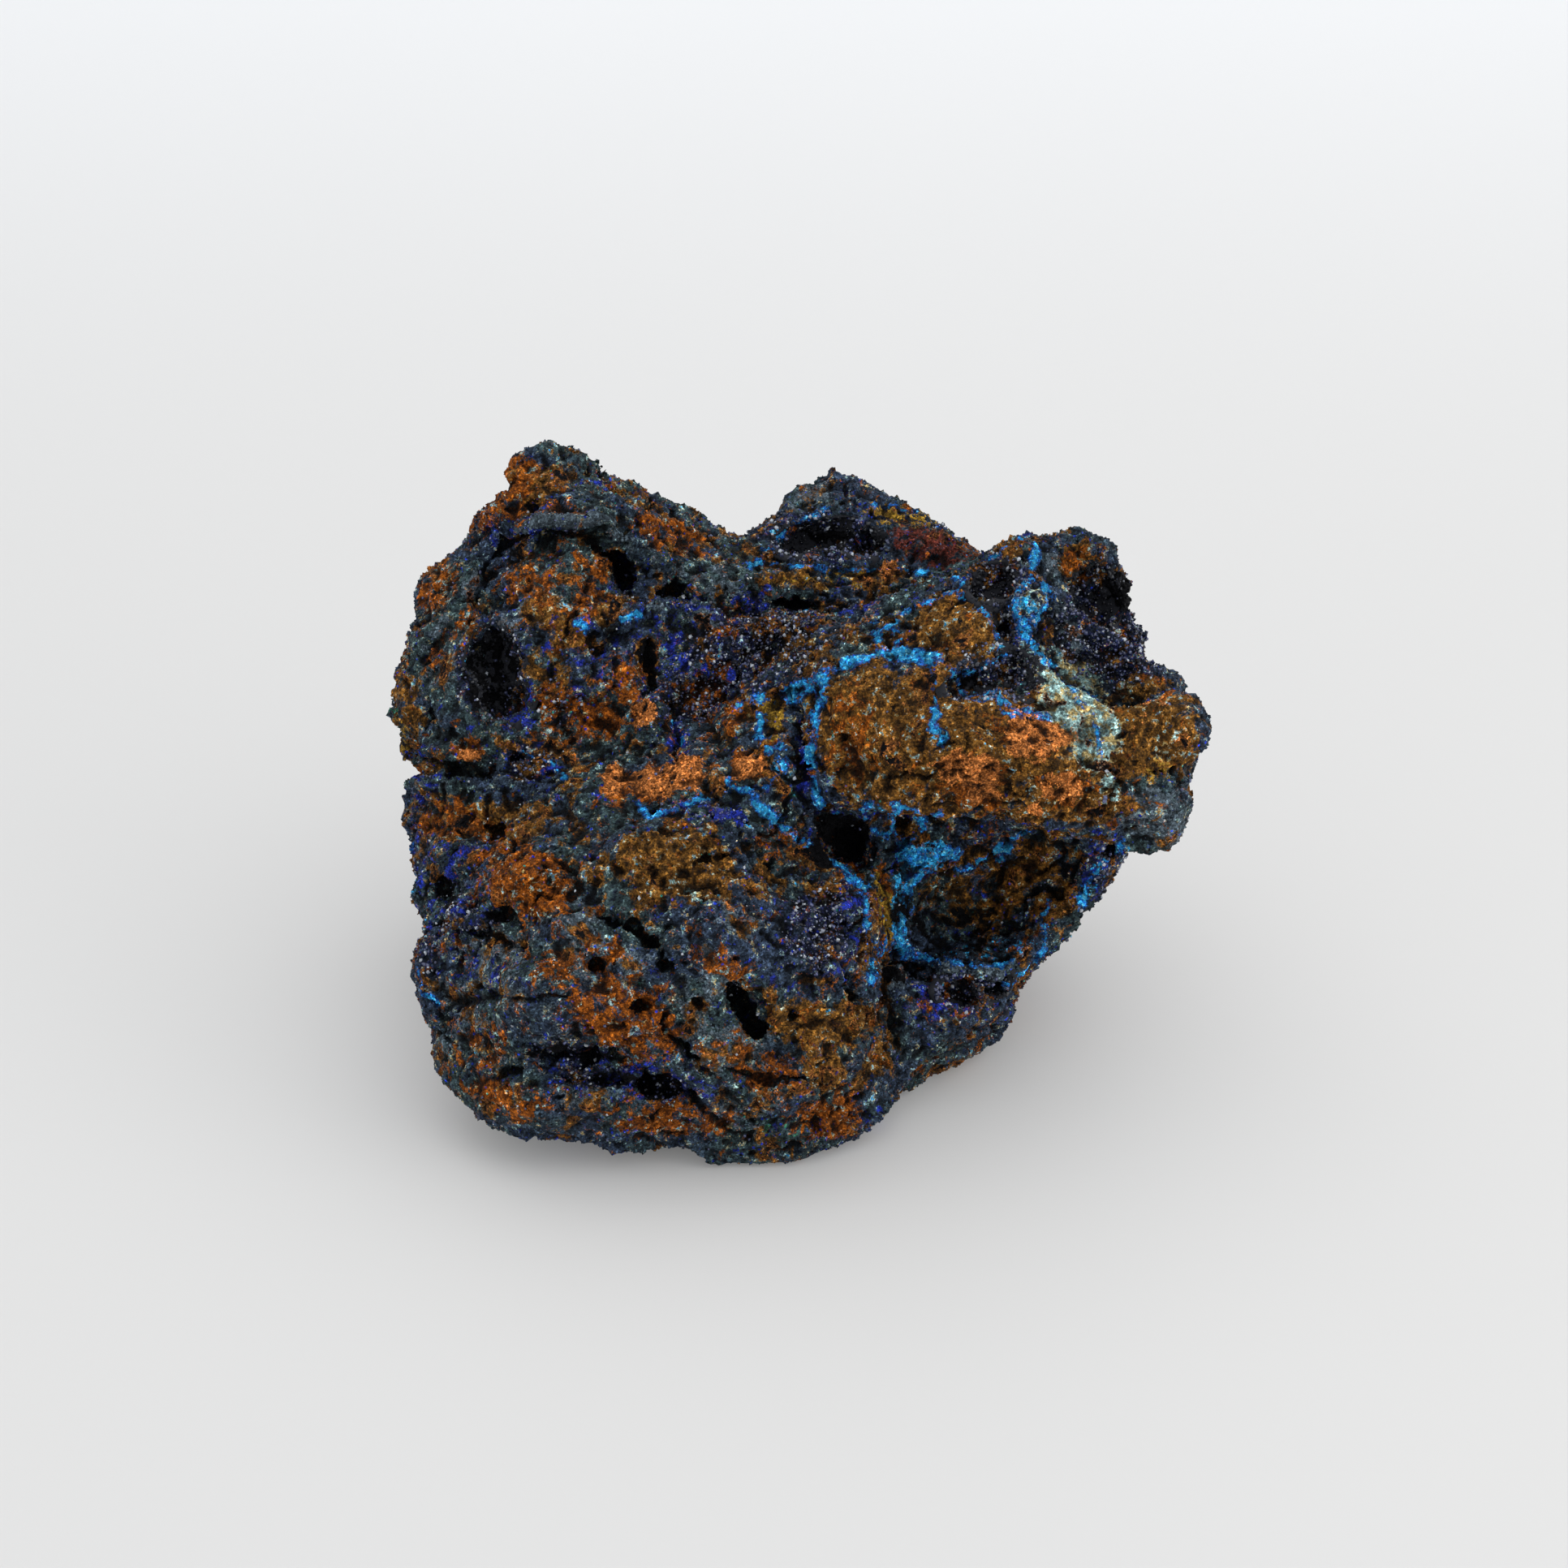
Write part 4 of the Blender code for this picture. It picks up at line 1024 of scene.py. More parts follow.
@dataclass(frozen=True)
class StoneFinish:
    """Grainy slate-blue azurite with iron stains, ochre, and rims of blue copper carbonate,
    with painted shade in its hollows and painted glints on its brightest grains.

    Reliefs are in millimetres.
    """

    slate: Colour = (0.047, 0.078, 0.081)
    lavender: Colour = (0.040, 0.061, 0.102)
    dusk: Colour = (0.010, 0.016, 0.028)
    cobalt: Colour = (0.016, 0.034, 0.330)
    violet: Colour = (0.025, 0.030, 0.128)
    rust: Colour = (0.355, 0.096, 0.009)
    dark_rust: Colour = (0.130, 0.032, 0.003)
    ochre: Colour = (0.250, 0.108, 0.018)
    umber: Colour = (0.055, 0.026, 0.006)
    sky: Colour = (0.030, 0.350, 0.680)
    milky_sky: Colour = (0.260, 0.720, 0.800)
    azure: Colour = (0.010, 0.110, 0.440)
    pale: Colour = (0.310, 0.490, 0.470)
    tan: Colour = (0.440, 0.330, 0.130)
    salmon: Colour = (0.600, 0.210, 0.055)
    dark_salmon: Colour = (0.420, 0.125, 0.022)
    silver: Colour = (0.088, 0.118, 0.142)
    bright_cobalt: Colour = (0.014, 0.040, 0.460)
    verdigris: Colour = (0.050, 0.420, 0.330)
    green: Colour = (0.030, 0.140, 0.080)
    gold: Colour = (0.330, 0.190, 0.022)
    red: Colour = (0.110, 0.024, 0.016)
    black: Colour = (0.002, 0.002, 0.003)
    cream: Colour = (0.520, 0.470, 0.400)
    grain_size: float = 0.34
    grain_relief: float = 0.28
    pore_relief: float = 0.8
    specular: float = 0.12

    def make(self) -> bpy.types.Material:
        """Builds the finish from the fields of the skin and fine noise."""
        bench = NodeBench("iron_stained_azurite")
        fine = bench.noise(0.25, 2.0, 0.7)
        middle = bench.noise(1.2, 5.0, 0.65, 31.0)
        broad = bench.noise(4.2, 6.0, 0.62, 77.0, 0.4)
        base = self.stained(bench, fine, middle, broad)
        base = self.speckled(bench, base)
        ribbon = bench.bands(
            bench.noise(0.6, 3.0, 0.7, 19.0),
            ((0.34, self.azure), (0.44, self.sky), (0.56, self.sky), (0.66, self.milky_sky)),
        )
        base = bench.mix(self.share(bench, Tint.SKY, middle, fine, 0.665), base, ribbon)
        salmon = bench.mix(bench.ramp(fine, 0.35, 0.65), self.dark_salmon, self.salmon)
        base = bench.mix(self.share(bench, Tint.SALMON, broad, fine, 0.62), base, salmon)
        frill = bench.product(bench.sum("SUBTRACT", bench.noise(1.0, 6.0, 0.72, 9.0, 0.5), 0.5), 4.5)
        rim = bench.sum("ADD", bench.field("rim"), frill)
        rim = bench.sum("ADD", rim, bench.ramp(broad, 0.50, 0.60, 0.0, 0.9))
        base = bench.mix(bench.ramp(rim, 1.28, 1.34, 0.85, 0.0), base, self.azure)
        base = bench.mix(bench.ramp(rim, 0.78, 0.9, 1.0, 0.0), base, ribbon)
        grain = bench.cells(self.grain_size)
        tone = grain.outputs["Color"]
        # The grains' own random tones, with the brightest lifted up to 2.6 times as painted glints.
        shade = bench.product(
            bench.ramp(tone, 0.0, 0.8, 0.35, 1.2),
            bench.ramp(fine, 0.3, 0.7, 0.45, 1.5),
            bench.ramp(tone, 0.72, 1.0, 1.0, 2.6),
            bench.ramp(bench.cells(0.9).outputs["Color"], 0.1, 0.9, 0.6, 1.45),
        )
        shade = bench.sum("MAXIMUM", shade, bench.product(bench.ramp(rim, 0.8, 1.2, 1.0, 0.0), 0.7))
        # Painted shade: the colour is darkened to a tenth in hollows and creases below the smoothed skin, and
        # lightened up to 1.3 times on bumps as painted light.
        shade = bench.product(shade, bench.ramp(bench.field("hollow"), -0.12, 0.32, 1.3, 0.10))
        tinted = bench.mix(1.0, base, bench.grey(shade), "MULTIPLY")
        porous = bench.noise(1.0, 5.0, 0.7, 91.0)
        pores = bench.product(
            bench.ramp(porous, 0.34, 0.39, 1.0, 0.0), bench.ramp(bench.field("rim"), 0.6, 1.4),
            bench.ramp(bench.field(Tint.PALE.value), 0.3, 0.9, 1.0, 0.1),
        )
        # Black for the pores, and black painted shade in the vugs, holes and cracks.
        dark = bench.sum("MAXIMUM", pores, self.share(bench, Tint.PAINTED_SHADE, broad, fine, 0.63))
        height = bench.sum("ADD", bench.product(grain.outputs["Distance"], -0.9), fine)
        return bench.finished({
            "Base Color": bench.mix(dark, tinted, self.black),
            "Roughness": bench.ramp(tone, 0.0, 1.0, 0.42, 0.85),
            "Normal": bench.relief(height, self.grain_relief, bench.relief(porous, self.pore_relief)),
            "Specular IOR Level": self.specular,
        })

    def stained(self, bench: NodeBench, fine: Socket, middle: Socket, broad: Socket) -> Socket:
        """Lays the stains over the slate one after another.

        Args:
            bench: The bench that holds the material.
            fine: Noise of the size of a grain.
            middle: Noise of about a millimetre.
            broad: Noise of several millimetres.

        Returns:
            The colour with its stains.
        """
        slate = bench.mix(bench.ramp(bench.noise(9.0, 3.0, 0.5, 55.0), 0.42, 0.58), self.slate, self.lavender)
        cobalt = bench.mix(bench.ramp(broad, 0.44, 0.56), self.cobalt, self.violet)
        druse = bench.mix(bench.ramp(middle, 0.45, 0.62), self.dusk, self.violet)
        ochre = bench.mix(bench.ramp(middle, 0.38, 0.58), self.umber, self.ochre)
        rust = bench.mix(bench.ramp(bench.noise(0.9, 4.0, 0.65, 51.0), 0.38, 0.60), self.dark_rust, self.rust)
        plate = bench.mix(bench.ramp(bench.noise(1.4, 5.0, 0.7, 63.0), 0.47, 0.57), self.pale, self.tan)
        base = bench.mix(bench.ramp(middle, 0.36, 0.54), self.dusk, slate)
        for tint, rough, edge, colour in (
            (Tint.COBALT, bench.noise(1.9, 6.0, 0.7, 13.0), 0.618, cobalt),
            (Tint.DRUSE, broad, 0.57, druse),
            (Tint.PLAIN, broad, 0.60, self.silver),
            (Tint.OCHRE, broad, 0.56, ochre),
            (Tint.RUST, bench.noise(2.2, 8.0, 0.72, 5.0, 0.7), 0.585, rust),
            (Tint.PALE, middle, 0.60, plate),
            (Tint.GREEN, middle, 0.66, self.green),
            (Tint.GOLD, middle, 0.65, self.gold),
            (Tint.RED, middle, 0.66, self.red),
        ):
            base = bench.mix(self.share(bench, tint, rough, fine, edge), base, colour)
        return base

    def speckled(self, bench: NodeBench, base: Socket) -> Socket:
        """Strews round specks over a colour; the two blue kinds stay off the ochre.

        Args:
            bench: The bench that holds the material.
            base: The colour under the specks.

        Returns:
            The colour with its specks.
        """
        specks = self.specks(bench, base, self.bright_cobalt, 0.50, 3.0, 0.51, 0.76)
        specks = self.specks(bench, specks, self.milky_sky, 0.44, 17.0, 0.67, 0.88)
        base = bench.mix(bench.ramp(bench.field(Tint.OCHRE.value), 0.5, 1.1), specks, base)
        base = self.specks(bench, base, self.verdigris, 0.46, 29.0, 0.58, 0.86)
        return self.specks(bench, base, self.cream, 0.50, 41.0, 0.60, 0.88)

    def specks(
        self, bench: NodeBench, base: Socket, colour: Colour,
        size: float, lift: float, cluster: float, rare: float,
    ) -> Socket:
        """Strews round specks of one colour over a base colour.

        Args:
            bench: The bench that holds the material.
            base: The colour under the specks.
            colour: Their colour.
            size: How far apart they may be, in millimetres.
            lift: Which pattern.
            cluster: How strong the noise has to be that gathers them.
            rare: The share of places left bare.

        Returns:
            The colour with its specks.
        """
        cells = bench.cells(size)
        few = bench.ramp(cells.outputs["Color"], rare, rare + 0.02)
        inside = bench.ramp(cells.outputs["Distance"], 0.30, 0.44, 1.0, 0.0)
        gathered = bench.ramp(bench.noise(3.4, 3.0, 0.6, lift), cluster, cluster + 0.06)
        return bench.mix(bench.product(few, inside, gathered), base, colour)

    def share(self, bench: NodeBench, tint: Tint, rough: Socket, fine: Socket, edge: float) -> Socket:
        """Where a tint shows: its field and two noises, cut off sharply.

        Args:
            bench: The bench that holds the material.
            tint: Which tint.
            rough: Noise that frays its outline.
            fine: Noise of the size of a grain.
            edge: How much field and noise together have to reach.

        Returns:
            Nought where it doesn't show, and one where it does.
        """
        total = bench.sum("ADD", bench.product(bench.field(tint.value), 0.13), rough)
        total = bench.sum("ADD", total, bench.product(bench.sum("SUBTRACT", fine, 0.5), 0.14))
        return bench.ramp(total, edge - 0.02, edge + 0.02)


@dataclass(frozen=True)
class CrystalFinish:
    """Small glossy azurite crystals, a little different from grain to grain, the palest with a painted glint.
    """

    dark: Colour = (0.002, 0.003, 0.008)
    light: Colour = (0.120, 0.140, 0.290)
    glint: Colour = (0.56, 0.60, 0.66)
    roughness: float = 0.2
    dull: float = 0.95
    specular: float = 0.7

    def make(self) -> bpy.types.Material:
        """Builds the finish, with each crystal's tone from the number it keeps."""
        bench = NodeBench("azurite_druse")
        tone = bench.field("tone")
        tint = bench.mix(bench.ramp(tone, 0.2, 0.9), self.dark, self.light)
        # Painted glint: the palest crystals take a pale colour in place of a reflection.
        tint = bench.mix(bench.ramp(tone, 0.84, 0.88), tint, self.glint)
        return bench.finished({
            "Base Color": bench.mix(bench.ramp(bench.noise(0.3, 2.0), 0.4, 0.6, 0.0, 0.5), tint, self.dark),
            "Normal": bench.relief(bench.noise(0.15, 2.0), 0.03),
            "Roughness": bench.ramp(tone, 0.11, 0.2, self.dull, self.roughness),
            "Specular IOR Level": self.specular,
        })


@dataclass(frozen=True)
class FloorFinish:
    """Plain pale matt plastic, lighter towards the wall as painted light, with a faint glow of painted light
    that lifts its shadows.
    """

    near: Colour = (0.590, 0.578, 0.560)
    far: Colour = (0.830, 0.835, 0.840)
    reach: tuple[float, float] = (100.0, 700.0)
    # Painted light: the glow lifts the shadows on the floor.
    glow: float = 0.12
    roughness: float = 0.55
    specular: float = 0.25

    def make(self) -> bpy.types.Material:
        """Builds the finish from the distance behind the specimen, in millimetres."""
        bench = NodeBench("pale_floor")
        split = bench.node("SeparateXYZ")
        bench.join(bench.places, split.inputs[0])
        return bench.finished({
            "Base Color": bench.mix(bench.ramp(split.outputs["Y"], *self.reach), self.near, self.far),
            "Roughness": self.roughness,
            "Specular IOR Level": self.specular,
            "Emission Color": (1.0, 1.0, 1.0),
            "Emission Strength": self.glow,
        })


# ---------------------------------------------------------------- the rock


@dataclass
class Rock:
    """The specimen's rock: one even skin over the solids, roughened and marked.

    Attributes:
        voxel: The side of the even skin's squares in millimetres.
        faces: How many triangles are kept.
        crust_reach: How near the rock's solid the back of a crust lies, in millimetres.
        crust_push: How far that back is pushed into the rock, in millimetres.
        floor_guard: How near the floor the skin falls inwards only, in millimetres.
        smoothings: How often the even skin is smoothed.
        ridge_gain: How much the lifts of ridges and grooves count.
        rim_gain: How much the lifts of rims count.
        oval_gain: How much the depths of pits and heights of lumps count.
        calm_share: How much of the roughness a calm place loses.
        hollow_rounds: How often the skin is smoothed to tell hollows from bumps.
        skin: The finished skin.
        kept: The fields kept on the mesh, by name.
    """

    voxel: float = 0.52
    faces: int = 198000
    crust_reach: float = 0.75
    crust_push: float = 0.65
    floor_guard: float = 1.2
    smoothings: int = 3
    ridge_gain: float = 1.9
    rim_gain: float = 0.9
    oval_gain: float = 1.3
    calm_share: float = 0.65
    hollow_rounds: int = 6
    skin: Surface = field(init=False)
    kept: dict[str, Array] = field(default_factory=dict)

    def gather(self) -> Surface:
        """Joins the rock's solid with its crusts, the backs of which are pushed into the rock."""
        whole = Surface.of_node(ROCK_NODE)
        samples = whole.samples()
        for name in crust_nodes():
            crust = Surface.of_node(name)
            crust = crust.lifted(self.crust_push * (gap(crust.points, samples) < self.crust_reach))
            triangles = np.vstack((whole.triangles, crust.triangles + len(whole.points)))
            whole = Surface(np.vstack((whole.points, crust.points)), triangles)
        return whole

    def build(self, finish: bpy.types.Material) -> bpy.types.Object:
        """Works out the skin and shows it in place of the rock's solid.

        Args:
            finish: The rock's finish.

        Returns:
            The rock.
        """
        even = self.gather().modified("REMESH", mode="VOXEL", voxel_size=self.voxel * MM).largest()
        for _ in range(self.smoothings):
            even.points = even.points + 0.5 * (even.neighbour_mean() - even.points)
        fields = RockFields(even.points)
        rough = self.roughen(self.carve(even, fields), fields).settle()
        self.skin = rough.modified("DECIMATE", ratio=self.faces / len(rough.triangles)).settle()
        self.mark()
        mesh = mesh_of(ROCK_NODE, self.skin.points, self.skin.triangles)
        for name, values in self.kept.items():
            add_field(mesh, name, values)
        rock = piece("iron_stained_rock", mesh, finish)
        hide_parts(ROCK_NODE)
        return rock

    def carve(self, even: Surface, fields: RockFields) -> Surface:
        """Moves the skin along its normals by the lines, pits and lumps.

        A line adds its lift times exp(-d^2), with d in half widths; a pit takes away and a lump
        adds its depth times the smooth step of one less the distance in radii.

        Args:
            even: The even skin.
            fields: The fields of its corners.

        Returns:
            The carved skin.
        """
        lift = np.zeros(len(even.points))
        for marked, gain in ((RIDGES, self.ridge_gain), (RIMS, self.rim_gain)):
            for line in marked:
                lift += gain * line.lift * np.exp(-fields.line_distance(line) ** 2)
        for rows, gain in ((PITS, -self.oval_gain), (LUMPS, self.oval_gain)):
            for *oval, depth in rows:
                lift += gain * depth * rise(fields.oval(*oval), 0.0, 0.7) * fields.shown
        return even.lifted(lift)

    def roughen(self, carved: Surface, fields: RockFields) -> Surface:
        """Gives the skin its own broken grain.

        The height is the sum of ridges and folds, which are noise folded at nought; round lumps
        between sharp valleys, which are a half less the distance to the nearest seed; terraces,
        which are how far slow noise strays from its rounded steps; scattered pits; and thin
        grooves where slow noise crosses nought. Calm places keep about a third of it. Close to
        the floor it only falls inwards, so that the rock still rests on its flats.

        Args:
            carved: The carved skin.
            fields: The fields of its corners.

        Returns:
            The rough skin.
        """
        points = carved.points
        bent = points + 0.8 * np.column_stack([wavy(points, 2.3, seed) for seed in (71, 72, 73)])
        lumps, grain = seed_distance(bent, 2.3, 21), seed_distance(bent, 1.05, 5)
        height = 0.8 * (0.35 - np.abs(layered(bent, 9.0, 3, 1)))
        height += 0.4 * (0.5 - lumps) + 0.5 * (0.5 - grain) + 0.25 * wavy(points, 0.9, 15)
        height += 0.9 * (0.25 - np.abs(wavy(bent, 3.6, 16))) + 0.7 * (0.25 - np.abs(wavy(bent, 1.8, 17)))
        slope = layered(bent, 11.0, 50) * 2.6
        height += 0.9 * (np.floor(slope) + rise(slope - np.floor(slope), 0.35, 0.65) - slope)
        height -= 1.3 * rise(layered(bent, 3.1, 40), 0.38, 0.75)
        grooves = 0.9 * rise(0.07 - np.abs(wavy(bent, 8.0, 33)), 0.0, 0.05)
        height -= grooves * rise(wavy(points, 12.0, 34), 0.0, 0.3)
        calm = 0.5 * rise(wavy(points, 9.0, 95), 0.05, 0.4)
        for oval in CALM:
            calm = np.maximum(calm, rise(fields.oval(*oval), -0.1, 0.35) * fields.shown)
        height *= 1.0 - self.calm_share * calm
        down = rise(self.floor_guard - points[:, 2], 0.0, self.floor_guard) * (carved.normals()[:, 2] < 0)
        height = np.where(down > 0, height * (1.0 - down) - down * np.abs(height) * 0.3, height)
        return carved.lifted(height)

    def mark(self) -> None:
        """Works out the fields of colour and of painted shade.

        Shown skin takes the patches; the rest takes slow noise of its own, so all sides are alike.
        The rim field is the distance from the rims in half widths, and the hollow field is how far
        the skin lies below its own smoothed self, in millimetres, which the finish turns into painted shade.
        """
        points = self.skin.points
        fields = RockFields(points)
        for number, tint in enumerate(Tint):
            total = np.zeros(len(points))
            for *oval, strength in PATCHES[tint]:
                total = np.maximum(total, strength * rise(fields.oval(*oval), -0.35, 0.45))
            free = self.free_field(tint, number)
            self.kept[tint.value] = fields.shown * (total - 0.12) + (1.0 - fields.shown) * free
        ledge = np.zeros(len(points))
        for line in RIDGES:
            if line.lift > 0:
                ledge = np.maximum(ledge, np.exp(-(0.8 * fields.line_distance(line)) ** 2))
        for tint, gain in ((Tint.PLAIN, 0.9), (Tint.RUST, -1.4), (Tint.OCHRE, -1.4)):
            self.kept[tint.value] += gain * ledge
        rim = np.min([fields.line_distance(line) for line in RIMS], axis=0)
        veins = np.abs(wavy(points, 17.0, 61)) / 0.025 + 3.0 * (wavy(points, 26.0, 8) < 0.12)
        self.kept["rim"] = np.minimum(rim, np.minimum(veins, FAR) + FAR * fields.shown)
        smooth = Surface(points, self.skin.triangles)
        for _ in range(self.hollow_rounds):
            smooth.points = smooth.neighbour_mean()
        self.kept["hollow"] = ((smooth.points - points) * self.skin.normals()).sum(axis=1)

    def free_field(self, tint: Tint, number: int) -> Array:
        """The strength of a tint on skin that carries no patches.

        Args:
            tint: Which tint.
            number: Its place among the tints, for a pattern of its own.

        Returns:
            The smooth step of slow noise times the tint's greatest strength.
        """
        slow = layered(self.skin.points, 16.0, 300 + 7 * number, 2)
        most = {Tint.RUST: 0.9, Tint.OCHRE: 0.8, Tint.DRUSE: 0.7, Tint.COBALT: 0.8, Tint.PALE: 0.3}
        return most.get(tint, 0.15) * rise(slow, -0.1, 0.5) * 1.4 - 0.1


# ---------------------------------------------------------------- grains and crystals


CRUMB_SEED = 100
CRYSTAL_SEED = 200
CRUST_SEED = 300


@dataclass(frozen=True)
class Shape:
    """One small grain: corners in shares of its size, the third along its own axis."""

    corners: tuple[tuple[float, float, float], ...]
    faces: tuple[tuple[int, int, int], ...]


def ring(radius: float, height: float) -> tuple[tuple[float, float, float], ...]:
    """Four corners round an axis: radius times the cosine and sine of each half quarter turn."""
    angles = (2.0 * math.pi * (k + 0.5) / 4 for k in range(4))
    return tuple((radius * math.cos(a), radius * math.sin(a), height) for a in angles)


def crumb_shape() -> Shape:
    """A lumpy crumb of eight faces: a belt of four corners with a corner above and one below."""
    belt = ((1.0, 0.1, 0.1), (-0.15, 0.95, -0.1), (-0.9, -0.05, 0.2), (0.1, -1.0, 0.0))
    corners = belt + ((0.1, 0.05, 0.85), (0.0, 0.0, -0.8))
    top = tuple((k, (k + 1) % 4, 4) for k in range(4))
    low = tuple(((k + 1) % 4, k, 5) for k in range(4))
    return Shape(corners, top + low)


def crystal_shape() -> Shape:
    """A short blade: a sunken foot of four corners, a wider shoulder and a slanting two-corner edge."""
    edge = ((0.32, 0.0, 1.0), (-0.22, 0.0, 0.92))
    sides = []
    for k in range(4):
        after = (k + 1) % 4
        sides += [(k, after, 4 + after), (k, 4 + after, 4 + k)]
    cap = [(4, 5, 9), (4, 9, 8), (5, 6, 9), (6, 7, 8), (6, 8, 9), (7, 4, 8)]
    return Shape(ring(0.55, -0.4) + ring(0.75, 0.45) + edge, tuple(sides + cap))


@dataclass
class Sown:
    """Grains in place, joined in one mesh.

    Attributes:
        points: The grains' corners in millimetres.
        faces: Their triangles.
        tone: A tone from 0 to 1 for each corner, the same all over a grain.
        places: Where the grains sit.
        held: The corners of the triangle that holds each grain.
        weights: How much each of those counts at the grain's place.
    """

    points: Array
    faces: Array
    tone: Array
    places: Array
    held: Array
    weights: Array

    def spread(self, values: Array) -> Array:
        """One value for each grain, given to each of its corners."""
        return np.repeat(values, len(self.points) // len(self.places))

    def carried(self, values: Array) -> Array:
        """The skin's values under the grains, given to the grains' corners."""
        return self.spread((values[self.held] * self.weights).sum(axis=1))


@dataclass(frozen=True)
class Strewing:
    """Small grains strewn over a skin by area.

    Attributes:
        shape: The grains' shape.
        least: Their least size in millimetres.
        most: Their greatest size in millimetres.
        lean: How far their axes lean at random; three or more gives any direction.
        clearance: How far they stay over the floor, in millimetres.
    """

    shape: Shape
    least: float
    most: float
    lean: float
    clearance: float = 0.05

    def sow(self, skin: Surface, normals: Array, share: Array, count: int, seed: int) -> Sown:
        """Sets grains on a skin, more of them where the share is greater.

        A triangle is chosen with a chance of its area times its share, and the place in it by two
        random fractions folded back into the triangle. Sizes run from least to most by the square
        of a random fraction. A grain's axis is the skin's normal plus a random lean, and its other
        two axes are square to it at a random turn. A corner is the place plus the axes times the
        shape's corner, strayed a little, and the size.

        Args:
            skin: The skin.
            normals: Its unit normals at the corners.
            share: How thickly each corner is strewn.
            count: How many grains.
            seed: Which of the many repeatable strewings to give.

        Returns:
            The grains.
        """
        generator = np.random.default_rng(seed)
        reach = np.cumsum(skin.areas() * np.maximum(share[skin.triangles].mean(axis=1), 0.0))
        picked = np.searchsorted(reach, generator.random(count) * reach[-1])
        held = skin.triangles[np.minimum(picked, len(skin.triangles) - 1)]
        pair = generator.random((count, 2))
        pair = np.where((pair.sum(axis=1) > 1.0)[:, None], 1.0 - pair, pair)
        weights = np.column_stack((1.0 - pair.sum(axis=1), pair))
        places = (skin.points[held] * weights[:, :, None]).sum(axis=1)
        along = (normals[held] * weights[:, :, None]).sum(axis=1)
        sizes = self.least + (self.most - self.least) * generator.random(count) ** 2
        axis = along + self.lean * generator.normal(size=(count, 3)) * 0.5
        axis /= np.linalg.norm(axis, axis=1, keepdims=True)
        side = np.cross(axis, generator.normal(size=(count, 3)))
        side /= np.maximum(np.linalg.norm(side, axis=1, keepdims=True), 1e-9)
        frames = np.stack((side, np.cross(axis, side), axis), axis=1)
        corners = np.array(self.shape.corners)
        jitter = 1.0 + 0.22 * generator.normal(size=(count, len(corners), 1)).clip(-1.5, 1.5)
        local = corners[None] * jitter * sizes[:, None, None]
        placed = (places[:, None, :] + np.einsum("nkc,ncd->nkd", local, frames)).reshape(-1, 3)
        placed[:, 2] = np.maximum(placed[:, 2], self.clearance)
        faces = np.array(self.shape.faces)[None] + (np.arange(count) * len(corners))[:, None, None]
        tone = np.repeat(generator.random(count), len(corners))
        return Sown(placed, faces.reshape(-1, 3), tone, places, held, weights)


@dataclass
class Crumbs:
    """Loose-looking crumbs of the rock's own stuff over its skin, in its own finish.

    Attributes:
        rock: The rock they sit on.
        count: How many crumbs each piece has; each crumb has eight triangles.
        layers: How many pieces there are.
        strewing: How they are strewn.
    """

    rock: Rock
    count: int = 24000
    layers: int = 3
    strewing: Strewing = Strewing(crumb_shape(), 0.13, 0.34, 3.0)

    def build(self, finish: bpy.types.Material) -> None:
        """Strews the crumbs, each with the fields of the skin under it.

        Args:
            finish: The rock's finish.
        """
        rock = self.rock
        share = 0.35 + rise(-rock.kept["hollow"], -0.25, 0.15) + 0.6 * (rock.kept["rim"] < 1.5)
        share = share * (rock.skin.points[:, 2] > 0.5)
        normals = rock.skin.normals()
        for layer in range(self.layers):
            sown = self.strewing.sow(rock.skin, normals, share, self.count, CRUMB_SEED + layer)
            mesh = mesh_of(f"stony_crumbs_{layer + 1}", sown.points, sown.faces)
            for name, values in rock.kept.items():
                add_field(mesh, name, sown.carried(values))
            piece(mesh.name, mesh, finish)


@dataclass
class SkinCrystals:
    """Small azurite crystals where the rock's skin carries druse.

    Attributes:
        rock: The rock they sit on.
        count: How many there are; each has fourteen triangles.
        strewing: How they are strewn.
    """

    rock: Rock
    count: int = 13500
    strewing: Strewing = Strewing(crystal_shape(), 0.16, 0.40, 0.9)

    def build(self, finish: bpy.types.Material) -> None:
        """Strews the crystals over the druse and, thinly, over the blue azurite.

        Args:
            finish: The crystals' finish.
        """
        rock = self.rock
        share = rise(rock.kept["druse"], 0.35, 1.0) + 0.12 * rise(rock.kept["cobalt"], 0.2, 1.0) + 0.012
        # Few crystals are strewn where black shade is painted.
        share = share * (rock.skin.points[:, 2] > 0.8) * (1.0 - 0.9 * rise(rock.kept["void"], 0.4, 1.0))
        sown = self.strewing.sow(rock.skin, rock.skin.normals(), share, self.count, CRYSTAL_SEED)
        mesh = mesh_of("azurite_skin_crystals", sown.points, sown.faces)
        add_field(mesh, "tone", sown.tone)
        piece(mesh.name, mesh, finish)


